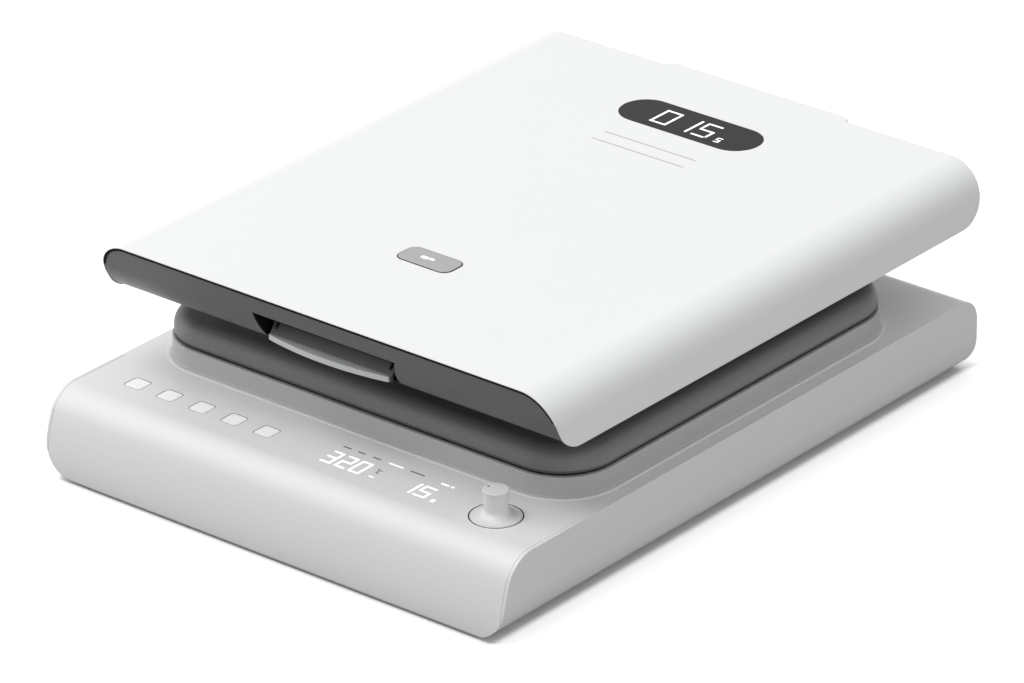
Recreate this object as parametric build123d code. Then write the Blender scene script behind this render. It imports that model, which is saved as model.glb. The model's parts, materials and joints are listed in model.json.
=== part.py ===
from build123d import *
import math
import os


# Automatic clamshell heat press, closed, as it stands on a table.
# Millimetres. +X to the viewer's right, +Y to the rear, +Z up.
# The origin is the middle of the footprint, on the table.

# Overall
overall_width = 440.0
overall_depth = 585.0
half_width = overall_width / 2
front_y = -overall_depth / 2
wall = 3.0

# Base housing
foot_height = 1.2
foot_spread = 165.0
foot_inset = 42.0
boss_row = 190.0
foot_sole_radius = 11.0
foot_top_radius = 13.0
deck_z = 66.5
base_rear_y = 278.5
front_upper_radius = 26.0
front_upper_turn = 66.2
front_lower_radius = 106.0
base_rear_radius = 20.5
base_foot_radius = 3.2
base_side_radius = 30.0
edge_radius = 1.2
deck_opening = 366.0
deck_opening_radius = 30.0
pan_thickness = 2.0
pan_inset = 8.0
floor_z = foot_height + pan_thickness
pan_half = half_width - base_side_radius
boss_radius = 4.0
boss_bore = 1.6
vent_length = 46.0
vent_width = 3.5
vent_pitch = 9.0
vent_count = 6
vent_row_x = 110.0
vent_first = 110.0
pan_gap = 0.4
pan_screw_length = 12.0
screw_head = 3.0
screw_shank = 1.5
screw_head_height = 1.6
pan_sink = 1.1
bolt_hole_radius = 2.6

# Pressing bed
bed_y = 5.7
bed_rim_width = 408.0
bed_rim_depth = 399.5
bed_rim_radius = 46.0
bed_rim_top = 83.2
bed_rim_edge = 1.2
bed_flange = 4.0
bed_flange_height = 0.6
bed_foot_fillet = 3.2
bed_gap = 1.0
pad_edge = 0.8
platen_size = 381.0
platen_radius = 32.0
pad_top = 84.0
pad_thickness = 6.0
bed_plate_skin = 4.0
rib_thickness = 4.0
pillar_pitch = 122.0
pillar_radius = 9.0
pillar_bore = 5.0
rib_count = 6
rib_inset = 12.0

# Heating head
head_width = 405.0
head_depth = 396.5
head_radius = 44.5
head_bottom = 87.4
skirt_bottom = 84.1
skirt_inset = 0.7
head_top = 103.7
head_round = 13.0
head_wall = 2.5
head_cavity = 384.0
head_cavity_fillet = 6.0
platen_bottom = 84.3
platen_thickness = 6.0
element_thickness = 3.0
carrier_size = 270.0
carrier_thickness = 3.0
element_rows = 8
element_pitch = 44.0
element_half = 165.0
stud_x = (-120.0, 0.0, 120.0)
stud_y = (-88.0, 0.0, 88.0)
stud_radius = 4.0
blanket_size = 372.0
sensor_x = 60.0
post_bottom = 98.2

# Lid
lid_half_width = 216.0
lid_top = 172.5
lid_round = 27.5
lid_bottom = 124.6
lid_front_y = -233.5
lid_rake_drop = 22.5
lid_rake_run = 6.2
lid_rear_y = 284.0
lid_rear_corner = 20.0
lid_lip = 0.8
lip_wall = 0.6
lip_depth = 6.0
chin_y = -218.6
chin_z = 135.4
chin_end_y = -198.5
hood_corner = 9.0
lid_boss_x = 180.0
lid_boss_rows = (-150.0, 40.0, 225.0)
lid_screw_head = 3.2
lid_screw_length = 14.0
hood_width = 178.0
hood_reach = overall_depth / 2 - lid_rear_y
belly_half_width = 150.0
belly_front = -222.0
belly_rear = 230.0
belly_drop = 3.0

# Hinge
hinge_y = 258.0
hinge_z = 108.0
hinge_pin_radius = 6.0
knuckle_radius = 11.5
bracket_inner_x = 50.0
bracket_outer_x = 80.0
bracket_front = 222.0
bracket_rear = 256.0
arm_inner_x = 30.0
arm_outer_x = 49.2
tower_half_width = 86.0
arm_slot_y = 227.0
tower_top = 122.6
bolt_rows = (230.0, 248.0)
bolt_head = 4.2
bolt_shank = 2.4
bolt_length = 14.0
bracket_foot = 6.0
spring_radius = 10.0
spring_bore = 6.4
spring_inner_x = 3.0
anchor_half = 92.0
anchor_thickness = 4.0
cap_wall = 2.5
cap_front = 213.0
cap_corner = 6.0
cap_round = 2.0

# Screw drive inside the lid
frame_bottom = 127.6
frame_thickness = 3.0
frame_top = frame_bottom + frame_thickness
frame_half_width = 140.0
frame_front = -165.0
frame_rear = 226.0
frame_flange = 12.0
arm_rear = 262.0
frame_windows = [(x, y) for x in (-75.0, 75.0) for y in (-70.0, 85.0)]
screw_radius = 9.0
running_gap = 0.05
post_radius = 6.0
post_spread = 115.0
post_top = 150.0
bush_wall = 3.5
bush_top = 142.0
bush_flange_top = 133.0
gear_module = 1.5
gear_teeth = 60
pinion_teeth = 15
gear_bottom = 139.0
gear_face = 9.0
hub_radius = 14.0
bridge_bottom = 152.0
bridge_top = 155.0
bearing_radius = 26.0
bridge_left = -22.0
bridge_right = 80.0
bridge_half_depth = 58.0
motor_radius = 20.0
cap_radius = 16.0
web_holes = 6
web_hole_radius = 8.0
web_hole_ring = 29.0
motor_shaft = 3.0
backlash = 0.3
gear_distance = gear_module * (gear_teeth + pinion_teeth) / 2

# Controls
key_count = 5
key_pitch = 31.8
key_first_x = -176.8
key_y = -235.0
key_size = 15.6
key_radius = 2.8
key_gap = 0.35
key_depth = 1.2
board_drop = 13.0
board_half = 177.0
board_thickness = 1.6
board_leg = 2.5
board_front = -262.0
board_rear = -216.0
board_leg_x = (-172.0, -60.0, 60.0, 172.0)
reading_front = -249.0
reading_rear = -216.0
knob_x = 167.0
knob_y = -234.3
knob_top = 88.2
knob_top_radius = 9.9
knob_skirt_radius = 18.5
knob_waist_radius = 9.0
knob_sink = 1.1
knob_brim_height = 1.8
knob_sweep_height = 7.5
knob_bore = 3.1
knob_cap = 5.0
dimple_radius = 0.9
dimple_x = -6.7
bezel_inner_radius = 18.9
bezel_outer_radius = 19.7
bezel_seat_radius = 20.3
bezel_seat_depth = 1.5
shaft_radius = 3.0
encoder_half = 7.0
encoder_neck = 4.5
shaft_depth = 12.0
button_length = 49.5
button_width = 23.5
button_radius = 7.3
button_gap = 0.35
button_y = -106.4
button_proud = 0.8
button_travel = 1.2
button_foot = 166.0
button_edge = 0.7
frame_drop = 11.5
display_length = 129.5
display_width = 44.0
display_y = 204.6
lens_thickness = 2.9
lens_gap = 0.3
light_box_height = 9.0
groove_length = 88.5
groove_width = 1.4
groove_depth = 0.6
groove_rows = (154.5, 139.2)

# Pull handle
recess_top = 155.4
recess_bottom = 134.0
recess_half_width = 68.0
recess_foot_half_width = 63.0
recess_back_y = -200.0
recess_wall = 2.5
tray_step_y = -194.0
handle_pivot_y = -206.5
handle_pivot_z = 149.0
handle_half_width = 58.0
handle_pin_radius = 1.5
pin_reach = 66.0
lip_bow = 8.0
lip_back_y = -220.1
lip_top = 138.6
lip_thickness = 4.3
lip_edge = 1.0
ear_width = 1.8
ear_notch = 3.0
ear_radius = 3.4
notch_foot_z = 141.6

# Mains entry
inlet_x = -160.0
inlet_z = 32.0
switch_x = -120.0
rocker_tilt = 7.0
rocker_half = 6.6
rocker_width = 9.2
inlet_half_width = 14.0
inlet_half_height = 10.0
switch_half_width = 10.0
switch_half_height = 7.0
panel_gap = 0.4
socket_depth = 17.0
blade_places = ((-7, -1), (0, 2), (7, -1))
rocker_pivot_y = 275.0
power_board_z = 20.0
power_board_left = -175.0
power_board_right = -97.0
power_board_front = 214.0
power_board_rear = 256.0


def save(name, shape):
    """Write one sub-part as parts/NAME.step."""
    shape.label = name
    export_step(shape, f"parts/{name}.step")


def block(x0, x1, y0, y1, z0, z1):
    """Box between two corners."""
    size = Box(x1 - x0, y1 - y0, z1 - z0)
    return Pos((x0 + x1) / 2, (y0 + y1) / 2, (z0 + z1) / 2) * size


def tablet(width, depth, radius, z0, z1, x=0.0, y=0.0):
    """Upright slab with round plan corners."""
    outline = Pos(x, y, z0) * RectangleRounded(width, depth, radius)
    return extrude(outline, z1 - z0)


def slot(length, width, z0, z1, x=0.0, y=0.0):
    """Upright slab with half-round ends."""
    return tablet(length, width, width / 2 - 0.01, z0, z1, x, y)


def post(radius, z0, z1, x=0.0, y=0.0):
    """Upright round post."""
    return Pos(x, y, (z0 + z1) / 2) * Cylinder(radius, z1 - z0)


def tube(outer, inner, z0, z1, x=0.0, y=0.0):
    """Upright tube."""
    return post(outer, z0, z1, x, y) - post(inner, z0 - 1, z1 + 1, x, y)


def rod_x(radius, x0, x1, y, z):
    """Round rod along X."""
    return Pos((x0 + x1) / 2, y, z) * Rot(0, 90, 0) * Cylinder(radius, x1 - x0)


def side_profile(outline, x0, x1):
    """Extrude a closed Y-Z outline from x0 to x1."""
    return extrude(Plane.YZ.offset(x0) * make_face(outline), x1 - x0)


def corners(spread_x, spread_y, y=0.0):
    """The four corners of a rectangle about (0, y)."""
    return [(i * spread_x, y + j * spread_y) for i in (-1, 1) for j in (-1, 1)]


def group(solids):
    """Several like pieces in one node."""
    return Compound(children=list(solids))


# Base housing

def base_outline():
    """Side view of the base: flat deck, swept nose, round tail."""
    lower_turn = 90 - front_upper_turn
    turn = math.radians(front_upper_turn)
    nose = front_upper_radius * math.sin(turn)
    nose += front_lower_radius * (1 - math.sin(turn))
    deck_front = front_y + nose
    deck = Line((base_rear_y - base_rear_radius, deck_z), (deck_front, deck_z))
    upper = JernArc(deck @ 1, deck % 1, front_upper_radius, front_upper_turn)
    lower = JernArc(upper @ 1, upper % 1, front_lower_radius, lower_turn)
    foot_start = foot_height + base_foot_radius
    face = Line(lower @ 1, (front_y, foot_start))
    toe = JernArc(face @ 1, (0, -1), base_foot_radius, 90)
    heel_y = base_rear_y - base_foot_radius
    sole = Line(toe @ 1, (heel_y, foot_height))
    heel = JernArc(sole @ 1, (1, 0), base_foot_radius, 90)
    tail_z = deck_z - base_rear_radius
    tail = Line(heel @ 1, (base_rear_y, tail_z))
    crown = JernArc(tail @ 1, (0, 1), base_rear_radius, 90)
    return [deck, upper, lower, face, toe, sole, heel, tail, crown]


def base_block(inset):
    """Solid form of the base, drawn in by the inset on every side."""
    profile = make_face(base_outline())
    if inset:
        profile = offset(profile, -inset)
    half = half_width - inset
    along = extrude(Plane.YZ.offset(-half) * profile, 2 * half)
    if not inset:
        sides = along.faces().filter_by(Axis.X)
        along = fillet(sides[0].edges() + sides[-1].edges(), edge_radius)
    low = foot_height + inset
    top = deck_z + 10
    section = Pos(0, (low + top) / 2) * Rectangle(2 * half + 1, top - low)
    low_corners = section.vertices().group_by(Axis.Y)[0]
    section = fillet(low_corners, base_side_radius - inset)
    across = extrude(Plane.XZ * section, overall_depth, both=True)
    return along & across


def deck_pockets():
    """Seats in the deck for the keys, the knob and its bezel."""
    cuts = [
        tablet(key_size, key_size, key_radius, deck_z - key_depth, deck_z + 1, x, key_y)
        for x in key_places()
    ]
    cuts.append(post(bezel_seat_radius, deck_z - bezel_seat_depth, deck_z + 1, knob_x, knob_y))
    cuts.append(post(shaft_radius + 2, deck_z - wall - 1, deck_z + 1, knob_x, knob_y))
    return cuts


def key_places():
    """X of each touch key."""
    return [key_first_x + i * key_pitch for i in range(key_count)]


def base_cover():
    """Pale grey housing: deck, walls, and the opening under the bed."""
    shell = base_block(0)
    shell -= base_block(wall)
    pan_front = front_y + pan_inset
    pan_rear = base_rear_y - pan_inset
    shell -= block(-pan_half, pan_half, pan_front, pan_rear, 0, foot_height + wall + 1)
    shell -= tablet(deck_opening, deck_opening, deck_opening_radius, deck_z - 10, deck_z + 5, 0, bed_y)
    for cut in deck_pockets():
        shell -= cut
    shell -= inlet_cut()
    shell -= switch_cut()
    for x, y in bolt_places():
        shell -= post(bolt_hole_radius, deck_z - 10, deck_z + 5, x, y)
    for x, y in pan_screw_places():
        shell += tube(boss_radius, boss_bore, floor_z, deck_z - wall + 0.5, x, y)
    return shell


def pan_screw_places():
    """Fixing points of the base pan."""
    half = pan_half - boss_radius - 2
    rows = (front_y + foot_inset, front_y + boss_row, base_rear_y - boss_row, base_rear_y - foot_inset)
    return [(side * half, y) for side in (-1, 1) for y in rows]


def base_pan():
    """Steel floor of the base, with vent slots and sunk screw holes."""
    half = pan_half - pan_gap
    inset = pan_inset + pan_gap
    pan = block(-half, half, front_y + inset, base_rear_y - inset, foot_height, floor_z)
    for x, y in pan_screw_places():
        pan -= post(screw_shank + 0.4, 0, floor_z + 1, x, y)
        pan -= post(screw_head + 0.2, 0, foot_height + pan_sink, x, y)
    for side in (-1, 1):
        for i in range(vent_count):
            y = base_rear_y - vent_first + i * vent_pitch
            pan -= slot(vent_length, vent_width, 0, floor_z + 1, side * vent_row_x, y)
    return pan


def foot_places():
    """Centres of the rubber feet."""
    rows = (front_y + foot_inset, base_rear_y - foot_inset)
    return [(side * foot_spread, y) for side in (-1, 1) for y in rows]


def rubber_feet():
    """Four tapered rubber feet."""
    foot = Cone(foot_sole_radius, foot_top_radius, foot_height)
    return group(Pos(x, y, foot_height / 2) * foot for x, y in foot_places())


def screw(x, y, z, head_radius, shank_radius, length, down=True):
    """Pan-head screw whose head rests at z; the shank points up or down."""
    side = 1 if down else -1
    crown = z + side * screw_head_height
    head = post(head_radius, min(z, crown), max(z, crown), x, y)
    tip = z - side * length
    return head + post(shank_radius, min(z, tip), max(z, tip), x, y)


def pan_screws():
    """Screws that hold the pan to the cover."""
    z = foot_height + pan_sink
    length = pan_screw_length
    return group(screw(x, y, z, screw_head, screw_shank, length, down=False) for x, y in pan_screw_places())


# Pressing bed

def bed_rim():
    """Raised ring round the bed, with a soft foot on the deck."""
    ring = tablet(bed_rim_width, bed_rim_depth, bed_rim_radius, deck_z, bed_rim_top, 0, bed_y)
    ring = fillet(ring.faces().sort_by(Axis.Z)[-1].edges(), bed_rim_edge)
    joint_z = deck_z + bed_flange_height
    foot_width = bed_rim_width + 2 * bed_flange
    foot_depth = bed_rim_depth + 2 * bed_flange
    ring += tablet(foot_width, foot_depth, bed_rim_radius + bed_flange, deck_z, joint_z, 0, bed_y)
    seam = ring.edges().filter_by(
        lambda e: abs(e.center().Z - joint_z) < 0.05
        and abs(e.bounding_box().size.Z) < 0.05).sort_by(SortBy.LENGTH)
    inner = [e for e in seam if on_ring(e, bed_rim_width, bed_rim_depth)]
    ring = fillet(inner, bed_foot_fillet)
    opening = platen_size + 2 * bed_gap
    ring -= tablet(opening, opening, platen_radius + bed_gap, deck_z - 1, bed_rim_top + 1, 0, bed_y)
    hollow_w = bed_rim_width - 2 * wall
    hollow_d = bed_rim_depth - 2 * wall
    ring -= tablet(hollow_w, hollow_d, bed_rim_radius - wall, deck_z - 1, bed_rim_top - wall, 0, bed_y)
    return ring


def on_ring(edge, width, depth):
    """True for an edge that lies on the outline of the rim's wall."""
    box = edge.bounding_box()
    reach_x = max(abs(box.min.X), abs(box.max.X))
    reach_y = max(abs(box.min.Y - bed_y), abs(box.max.Y - bed_y))
    return reach_x < width / 2 + 0.1 and reach_y < depth / 2 + 0.1


def bed_plate():
    """Cast bed: a flat skin on a lattice of ribs that stands on the deck."""
    top = pad_top - pad_thickness
    skin = tablet(platen_size, platen_size, platen_radius, top - bed_plate_skin, top, 0, bed_y)
    half = platen_size / 2 - rib_inset
    count = rib_count
    ribs = block(-half, half, bed_y - half, bed_y - half + rib_thickness, deck_z, top - 1)
    for i in range(1, count + 1):
        y = bed_y - half + (2 * half - rib_thickness) * i / count
        ribs += block(-half, half, y, y + rib_thickness, deck_z, top - 1)
    for i in range(count + 1):
        x = -half + (2 * half - rib_thickness) * i / count
        ribs += block(x, x + rib_thickness, bed_y - half, bed_y + half, deck_z, top - 1)
    return skin + ribs


def bed_pad():
    """Heat-proof silicone pad."""
    pad = tablet(platen_size, platen_size, platen_radius, pad_top - pad_thickness, pad_top, 0, bed_y)
    return fillet(pad.faces().sort_by(Axis.Z)[-1].edges(), pad_edge)


def bed_pillars():
    """Nine pillars that carry the bed's load to the pan."""
    steps = (-pillar_pitch, 0, pillar_pitch)
    spots = [(x, bed_y + y) for x in steps for y in steps]
    return group(tube(pillar_radius, pillar_bore, floor_z, deck_z, x, y) for x, y in spots)


# Controls on the deck

def touch_keys():
    """Five flush key lenses."""
    size = key_size - 2 * key_gap
    radius = key_radius - key_gap
    low = deck_z - key_depth
    return group(tablet(size, size, radius, low, deck_z, x, key_y) for x in key_places())


def knob_bezel():
    """Trim ring round the knob."""
    low = deck_z - bezel_seat_depth
    return tube(bezel_outer_radius, bezel_inner_radius, low, deck_z + 0.2, knob_x, knob_y)


def knob():
    """Turning knob: thin skirt, swept waist, dished top edge and a pointer dimple."""
    base = deck_z - knob_sink
    brim = base + knob_brim_height
    waist = knob_waist_radius
    waist_z = base + knob_sweep_height
    lines = [
        Line((knob_bore, base), (knob_skirt_radius, base)),
        Line((knob_skirt_radius, base), (knob_skirt_radius, brim)),
        ThreePointArc((knob_skirt_radius, brim), (waist + 2.4, brim + 1.6), (waist, waist_z)),
        Line((waist, waist_z), (waist + 0.3, knob_top - 1.3)),
        Line((waist + 0.3, knob_top - 1.3), (knob_top_radius, knob_top - 0.9)),
        Line((knob_top_radius, knob_top - 0.9), (knob_top_radius - 0.4, knob_top)),
        Line((knob_top_radius - 0.4, knob_top), (0, knob_top)),
        Line((0, knob_top), (0, knob_top - knob_cap)),
        Line((0, knob_top - knob_cap), (knob_bore, knob_top - knob_cap)),
        Line((knob_bore, knob_top - knob_cap), (knob_bore, base)),
    ]
    body = revolve(Plane.XZ * make_face(lines), Axis.Z, 360)
    body -= post(dimple_radius, knob_top - 0.5, knob_top + 1, dimple_x, 0)
    return Pos(knob_x, knob_y, 0) * body


def encoder_shaft():
    """Shaft that turns with the knob."""
    return post(shaft_radius, deck_z - shaft_depth, knob_top - knob_cap, knob_x, knob_y)


def encoder_body():
    """Rotary encoder under the deck, with its neck through the deck hole."""
    low = deck_z - board_drop
    half = encoder_half
    body = block(knob_x - half, knob_x + half, knob_y - half, knob_y + half, low, deck_z - wall - 0.5)
    body += post(encoder_neck, deck_z - 4, deck_z - 1.4, knob_x, knob_y)
    return body - post(shaft_radius + running_gap, deck_z - shaft_depth - 0.2, deck_z, knob_x, knob_y)


def control_board():
    """Circuit board of the front panel, standing on its own legs."""
    top = deck_z - board_drop
    board = block(-board_half, board_half, board_front, board_rear, top - board_thickness, top)
    for x in board_leg_x:
        for y in (board_front + 5, board_rear - 5):
            board += post(board_leg, floor_z, top - 1, x, y)
    return board


def panel_display():
    """Light box of the digits, pressed up under the deck."""
    low = deck_z - board_drop
    case = block(-8, 132, reading_front - 3, reading_rear + 2, low, deck_z - wall)
    case -= block(-4, 62, reading_front, reading_rear, low + 2, deck_z)
    return case - block(76, 124, reading_front, reading_rear, low + 2, deck_z)


# Mains entry on the rear wall

def wall_cut(x, half_width, half_height):
    """Hole in the rear wall at the height of the mains entry."""
    low = inlet_z - half_height
    high = inlet_z + half_height
    return block(x - half_width, x + half_width, base_rear_y - 30, base_rear_y + 5, low, high)


def plate_on_wall(x, half_width, half_height, thickness, corner):
    """Flange on the rear wall with round corners."""
    low = inlet_z - half_height
    high = inlet_z + half_height
    plate = block(x - half_width, x + half_width, base_rear_y, base_rear_y + thickness, low, high)
    return fillet(plate.edges().filter_by(Axis.Y), corner)


def inlet_cut():
    """Hole for the appliance inlet."""
    return wall_cut(inlet_x, inlet_half_width, inlet_half_height)


def switch_cut():
    """Hole for the power switch."""
    return wall_cut(switch_x, switch_half_width, switch_half_height)


def power_inlet():
    """Three-pole appliance inlet: flange, body and shrouded socket."""
    flange = plate_on_wall(inlet_x, inlet_half_width + 2, inlet_half_height + 2, 2, 2)
    half = inlet_half_width - panel_gap
    low = inlet_z - inlet_half_height + panel_gap
    high = inlet_z + inlet_half_height - panel_gap
    body = block(inlet_x - half, inlet_x + half, base_rear_y - 22, base_rear_y, low, high)
    mouth_y = base_rear_y + 3
    back_y = base_rear_y - socket_depth
    socket = block(inlet_x - 12, inlet_x + 12, back_y, mouth_y, inlet_z - 8, inlet_z + 8)
    top = socket.faces().sort_by(Axis.Z)[-1].edges().filter_by(Axis.Y)
    return flange + body - chamfer(top, 4)


def inlet_pins():
    """Three flat blades in the socket."""
    pins = []
    back_y = base_rear_y - socket_depth
    for dx, dz in blade_places:
        x = inlet_x + dx
        z = inlet_z + dz
        pins.append(block(x - 1, x + 1, back_y, base_rear_y - 6, z - 2, z + 2))
    return group(pins)


def switch_frame():
    """Frame of the rocker switch."""
    frame = plate_on_wall(switch_x, switch_half_width + 2, switch_half_height + 2, 1.6, 1.5)
    half = switch_half_width - panel_gap
    low = inlet_z - switch_half_height + panel_gap
    high = inlet_z + switch_half_height - panel_gap
    frame += block(switch_x - half, switch_x + half, base_rear_y - 16, base_rear_y, low, high)
    well = block(switch_x - 8, switch_x + 8, base_rear_y - 12, base_rear_y + 3, inlet_z - 5, inlet_z + 5)
    return frame - well


def switch_rocker():
    """Rocker with its two faces at an angle, resting on its off side."""
    reach = rocker_half
    outline = [(-reach, -3), (reach, -3), (reach, 5), (0, 3.6), (-reach, 5)]
    body = extrude(make_face(Polyline(*outline, close=True)), rocker_width)
    return Pos(switch_x, rocker_pivot_y, inlet_z - rocker_width / 2) * Rot(0, 0, -rocker_tilt) * body


def power_board():
    """Power supply board on four legs."""
    top = power_board_z
    left, right = power_board_left, power_board_right
    front, rear = power_board_front, power_board_rear
    board = block(left, right, front, rear, top - board_thickness, top)
    for x in (left + 5, right - 5):
        for y in (front + 5, rear - 5):
            board += post(board_leg, floor_z, top - 1, x, y)
    return board


def power_parts():
    """Transformer, reservoir capacitors and relay on the power board."""
    low = power_board_z
    parts = [block(-124, -99, 218, 246, low, low + 24)]
    parts += [post(7, low, low + 24, x, 226) for x in (-150, -134)]
    parts.append(block(-173, -160, 216, 230, low, low + 16))
    return group(parts)


# Hinge

def bolt_places():
    """Bolts of the hinge brackets."""
    x = (bracket_inner_x + bracket_outer_x) / 2
    return [(side * x, y) for side in (-1, 1) for y in bolt_rows]


def knuckle_outline(foot_front, foot_rear, foot_z, root_z):
    """Web that narrows from a foot to the round knuckle."""
    eye = Pos(hinge_y, hinge_z) * Circle(knuckle_radius)
    web = make_face(Polyline(
        (foot_front, foot_z), (foot_rear, foot_z), (foot_rear, root_z),
        (hinge_y + knuckle_radius, hinge_z), (hinge_y - knuckle_radius, hinge_z),
        (foot_front, root_z), close=True))
    return eye + web


def hinge_bracket():
    """Cast bracket that carries the pin on one side."""
    width = bracket_outer_x - bracket_inner_x
    outline = knuckle_outline(bracket_front, bracket_rear, deck_z, deck_z + 8)
    web = extrude(Plane.YZ.offset(bracket_inner_x) * outline, width)
    top = hinge_z - knuckle_radius - 4
    rib = bracket_foot
    web -= block(bracket_inner_x + rib, bracket_outer_x - rib, 200, 300, deck_z + bracket_foot, top)
    web -= rod_x(hinge_pin_radius, 0, 200, hinge_y, hinge_z)
    for x, y in bolt_places():
        web -= post(bolt_hole_radius, deck_z - 1, deck_z + 10, x, y)
    return web


def hinge_brackets():
    """Left and right bracket."""
    right = hinge_bracket()
    return group([right, mirror(right, Plane.YZ)])


def hinge_pin():
    """Steel pin through brackets and arms."""
    half = bracket_outer_x + 2
    return rod_x(hinge_pin_radius, -half, half, hinge_y, hinge_z)


def hinge_springs():
    """Two wound springs round the pin, as plain sleeves."""
    sleeves = []
    for side in (-1, 1):
        x0, x1 = sorted((side * spring_inner_x, side * (arm_inner_x - 1)))
        sleeve = rod_x(spring_radius, x0, x1, hinge_y, hinge_z)
        sleeves.append(sleeve - rod_x(spring_bore, x0 - 1, x1 + 1, hinge_y, hinge_z))
    return group(sleeves)


def hinge_tower():
    """Caps over both brackets, joined by a low bridge under the arms."""
    half = tower_half_width
    front = cap_front
    middle = (bracket_rear + front) / 2
    tower = tablet(2 * half, bracket_rear - front, cap_corner, deck_z, tower_top, 0, middle)
    tower = fillet(tower.faces().sort_by(Axis.Z)[-1].edges(), cap_round)
    inner = bracket_inner_x - 0.4
    tower -= block(-inner, inner, 200, 300, deck_z + 4, 200)
    for side in (-1, 1):
        x0, x1 = sorted((side * (inner - 1), side * (half - cap_wall)))
        tower -= block(x0, x1, front + cap_wall, 300, deck_z - 1, tower_top - cap_wall)
    return tower


def hinge_anchor():
    """Steel plate under the deck that takes the hinge load to the pan."""
    top = deck_z - wall
    low = top - anchor_thickness
    plate = block(-anchor_half, anchor_half, bracket_front, bracket_rear, low, top)
    for side in (-1, 1):
        x0, x1 = sorted((side * (anchor_half - anchor_thickness), side * anchor_half))
        plate += block(x0, x1, bracket_front, bracket_rear, floor_z, low)
    for x, y in bolt_places():
        plate -= post(bolt_hole_radius, 0, 100, x, y)
    return plate


def hinge_bolts():
    """Bolts through the brackets, the deck and the anchor plate."""
    z = deck_z + bracket_foot
    return group(screw(x, y, z, bolt_head, bolt_shank, bolt_length) for x, y in bolt_places())


# Lid

def lid_outline(rear, inset=0.0):
    """Side view of the lid: raked front, round lower corners."""
    top = lid_top - inset
    bottom = lid_bottom + inset
    front = lid_front_y + inset
    crown = Line((rear - inset, top), (front, top))
    brow = Line(crown @ 1, (front + lid_rake_run, top - lid_rake_drop + inset))
    middle = (chin_y + inset, chin_z + 0.4 * inset)
    chin = ThreePointArc(brow @ 1, middle, (chin_end_y, bottom))
    corner = lid_rear_corner
    sole = Line(chin @ 1, (rear - corner, bottom))
    heel = JernArc(sole @ 1, (1, 0), corner - inset, 90)
    back = Line(heel @ 1, crown @ 0)
    return [crown, brow, chin, sole, heel, back]


def lid_section(inset, bottom):
    """Cross-section of the lid seen from the front."""
    half = lid_half_width - inset
    top = lid_top - inset
    shape = Pos(0, (top + bottom) / 2) * Rectangle(2 * half, top - bottom)
    return fillet(shape.vertices().group_by(Axis.Y)[-1], lid_round - inset)


def lid_form(inset):
    """Solid form of the lid with the hood over the hinge."""
    half = lid_half_width - inset
    body = side_profile(lid_outline(lid_rear_y, inset), -half, half)
    section = lid_section(inset, lid_bottom - 10)
    body &= extrude(Plane.XZ * section, overall_depth, both=True)
    hood_half = hood_width / 2 - inset
    hood = side_profile(lid_outline(lid_rear_y + hood_reach, inset), -hood_half, hood_half)
    depth = 100.0
    mid_y = lid_rear_y + hood_reach - inset - depth / 2
    hood &= tablet(2 * hood_half, depth, hood_corner - inset, 100, 200, 0, mid_y)
    return body + hood


def lid_boss_places():
    """Screw pillars of the lid."""
    return [(side * lid_boss_x, y) for side in (-1, 1) for y in lid_boss_rows]


def lid_shell():
    """White wrap-round shell, open to the front and below."""
    shell = lid_form(0) - lid_form(wall)
    half = lid_half_width - wall
    opening = lid_section(wall, lid_bottom - 10)
    front_cut = extrude(Plane.XZ.offset(150) * opening, 150)
    shell -= front_cut
    shell -= lip_zone(lip_wall, -1, lip_depth)
    shell -= block(-half, half, -300, lid_rear_y - lid_rear_corner, lid_bottom - 2, lid_bottom + 12)
    shell -= slot(display_length, display_width, lid_top - 10, lid_top + 5, 0, display_y)
    hole_length = button_length + 2 * button_gap
    hole_width = button_width + 2 * button_gap
    hole_radius = button_radius + button_gap
    shell -= tablet(hole_length, hole_width, hole_radius, lid_top - 10, lid_top + 5, 0, button_y)
    for y in groove_rows:
        low = lid_top - groove_depth
        shell -= slot(groove_length, groove_width, low, lid_top + 1, 0, y)
    for x, y in lid_boss_places():
        shell += tube(boss_radius, boss_bore, frame_top, lid_top - wall + 0.5, x, y)
    return shell


def lip_zone(side_inset, start, end):
    """Slice of the lid's section that follows the front, between two depths behind it."""
    profile = side_profile(lid_outline(lid_rear_y), -half_width, half_width)
    section = lid_section(side_inset, lid_bottom - 10)
    zone = Pos(0, start, 0) * profile - Pos(0, end, 0) * profile
    zone &= extrude(Plane.XZ * section, overall_depth, both=True)
    return zone & block(-half_width, half_width, front_y, 0, lid_bottom, lid_top)


def tray_walls(inset):
    """Block that fills the shell, a lip's width behind its front edge."""
    half = lid_half_width - wall - inset
    body = side_profile(lid_outline(lid_rear_y, inset), -half, half)
    section = lid_section(wall + inset, lid_bottom - 10)
    body = Pos(0, lid_lip, 0) * body & extrude(Plane.XZ * section, overall_depth, both=True)
    return body & block(-300, 300, -300, lid_rear_y - lid_rear_corner - 0.5 - inset, 0, 200)


def belly(inset, z0, z1):
    """Shallow tub in the middle of the tray floor."""
    front = belly_front + inset
    rear = belly_rear - inset
    width = 2 * (belly_half_width - inset)
    return tablet(width, rear - front, 12, z0, z1, 0, (front + rear) / 2)


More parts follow.
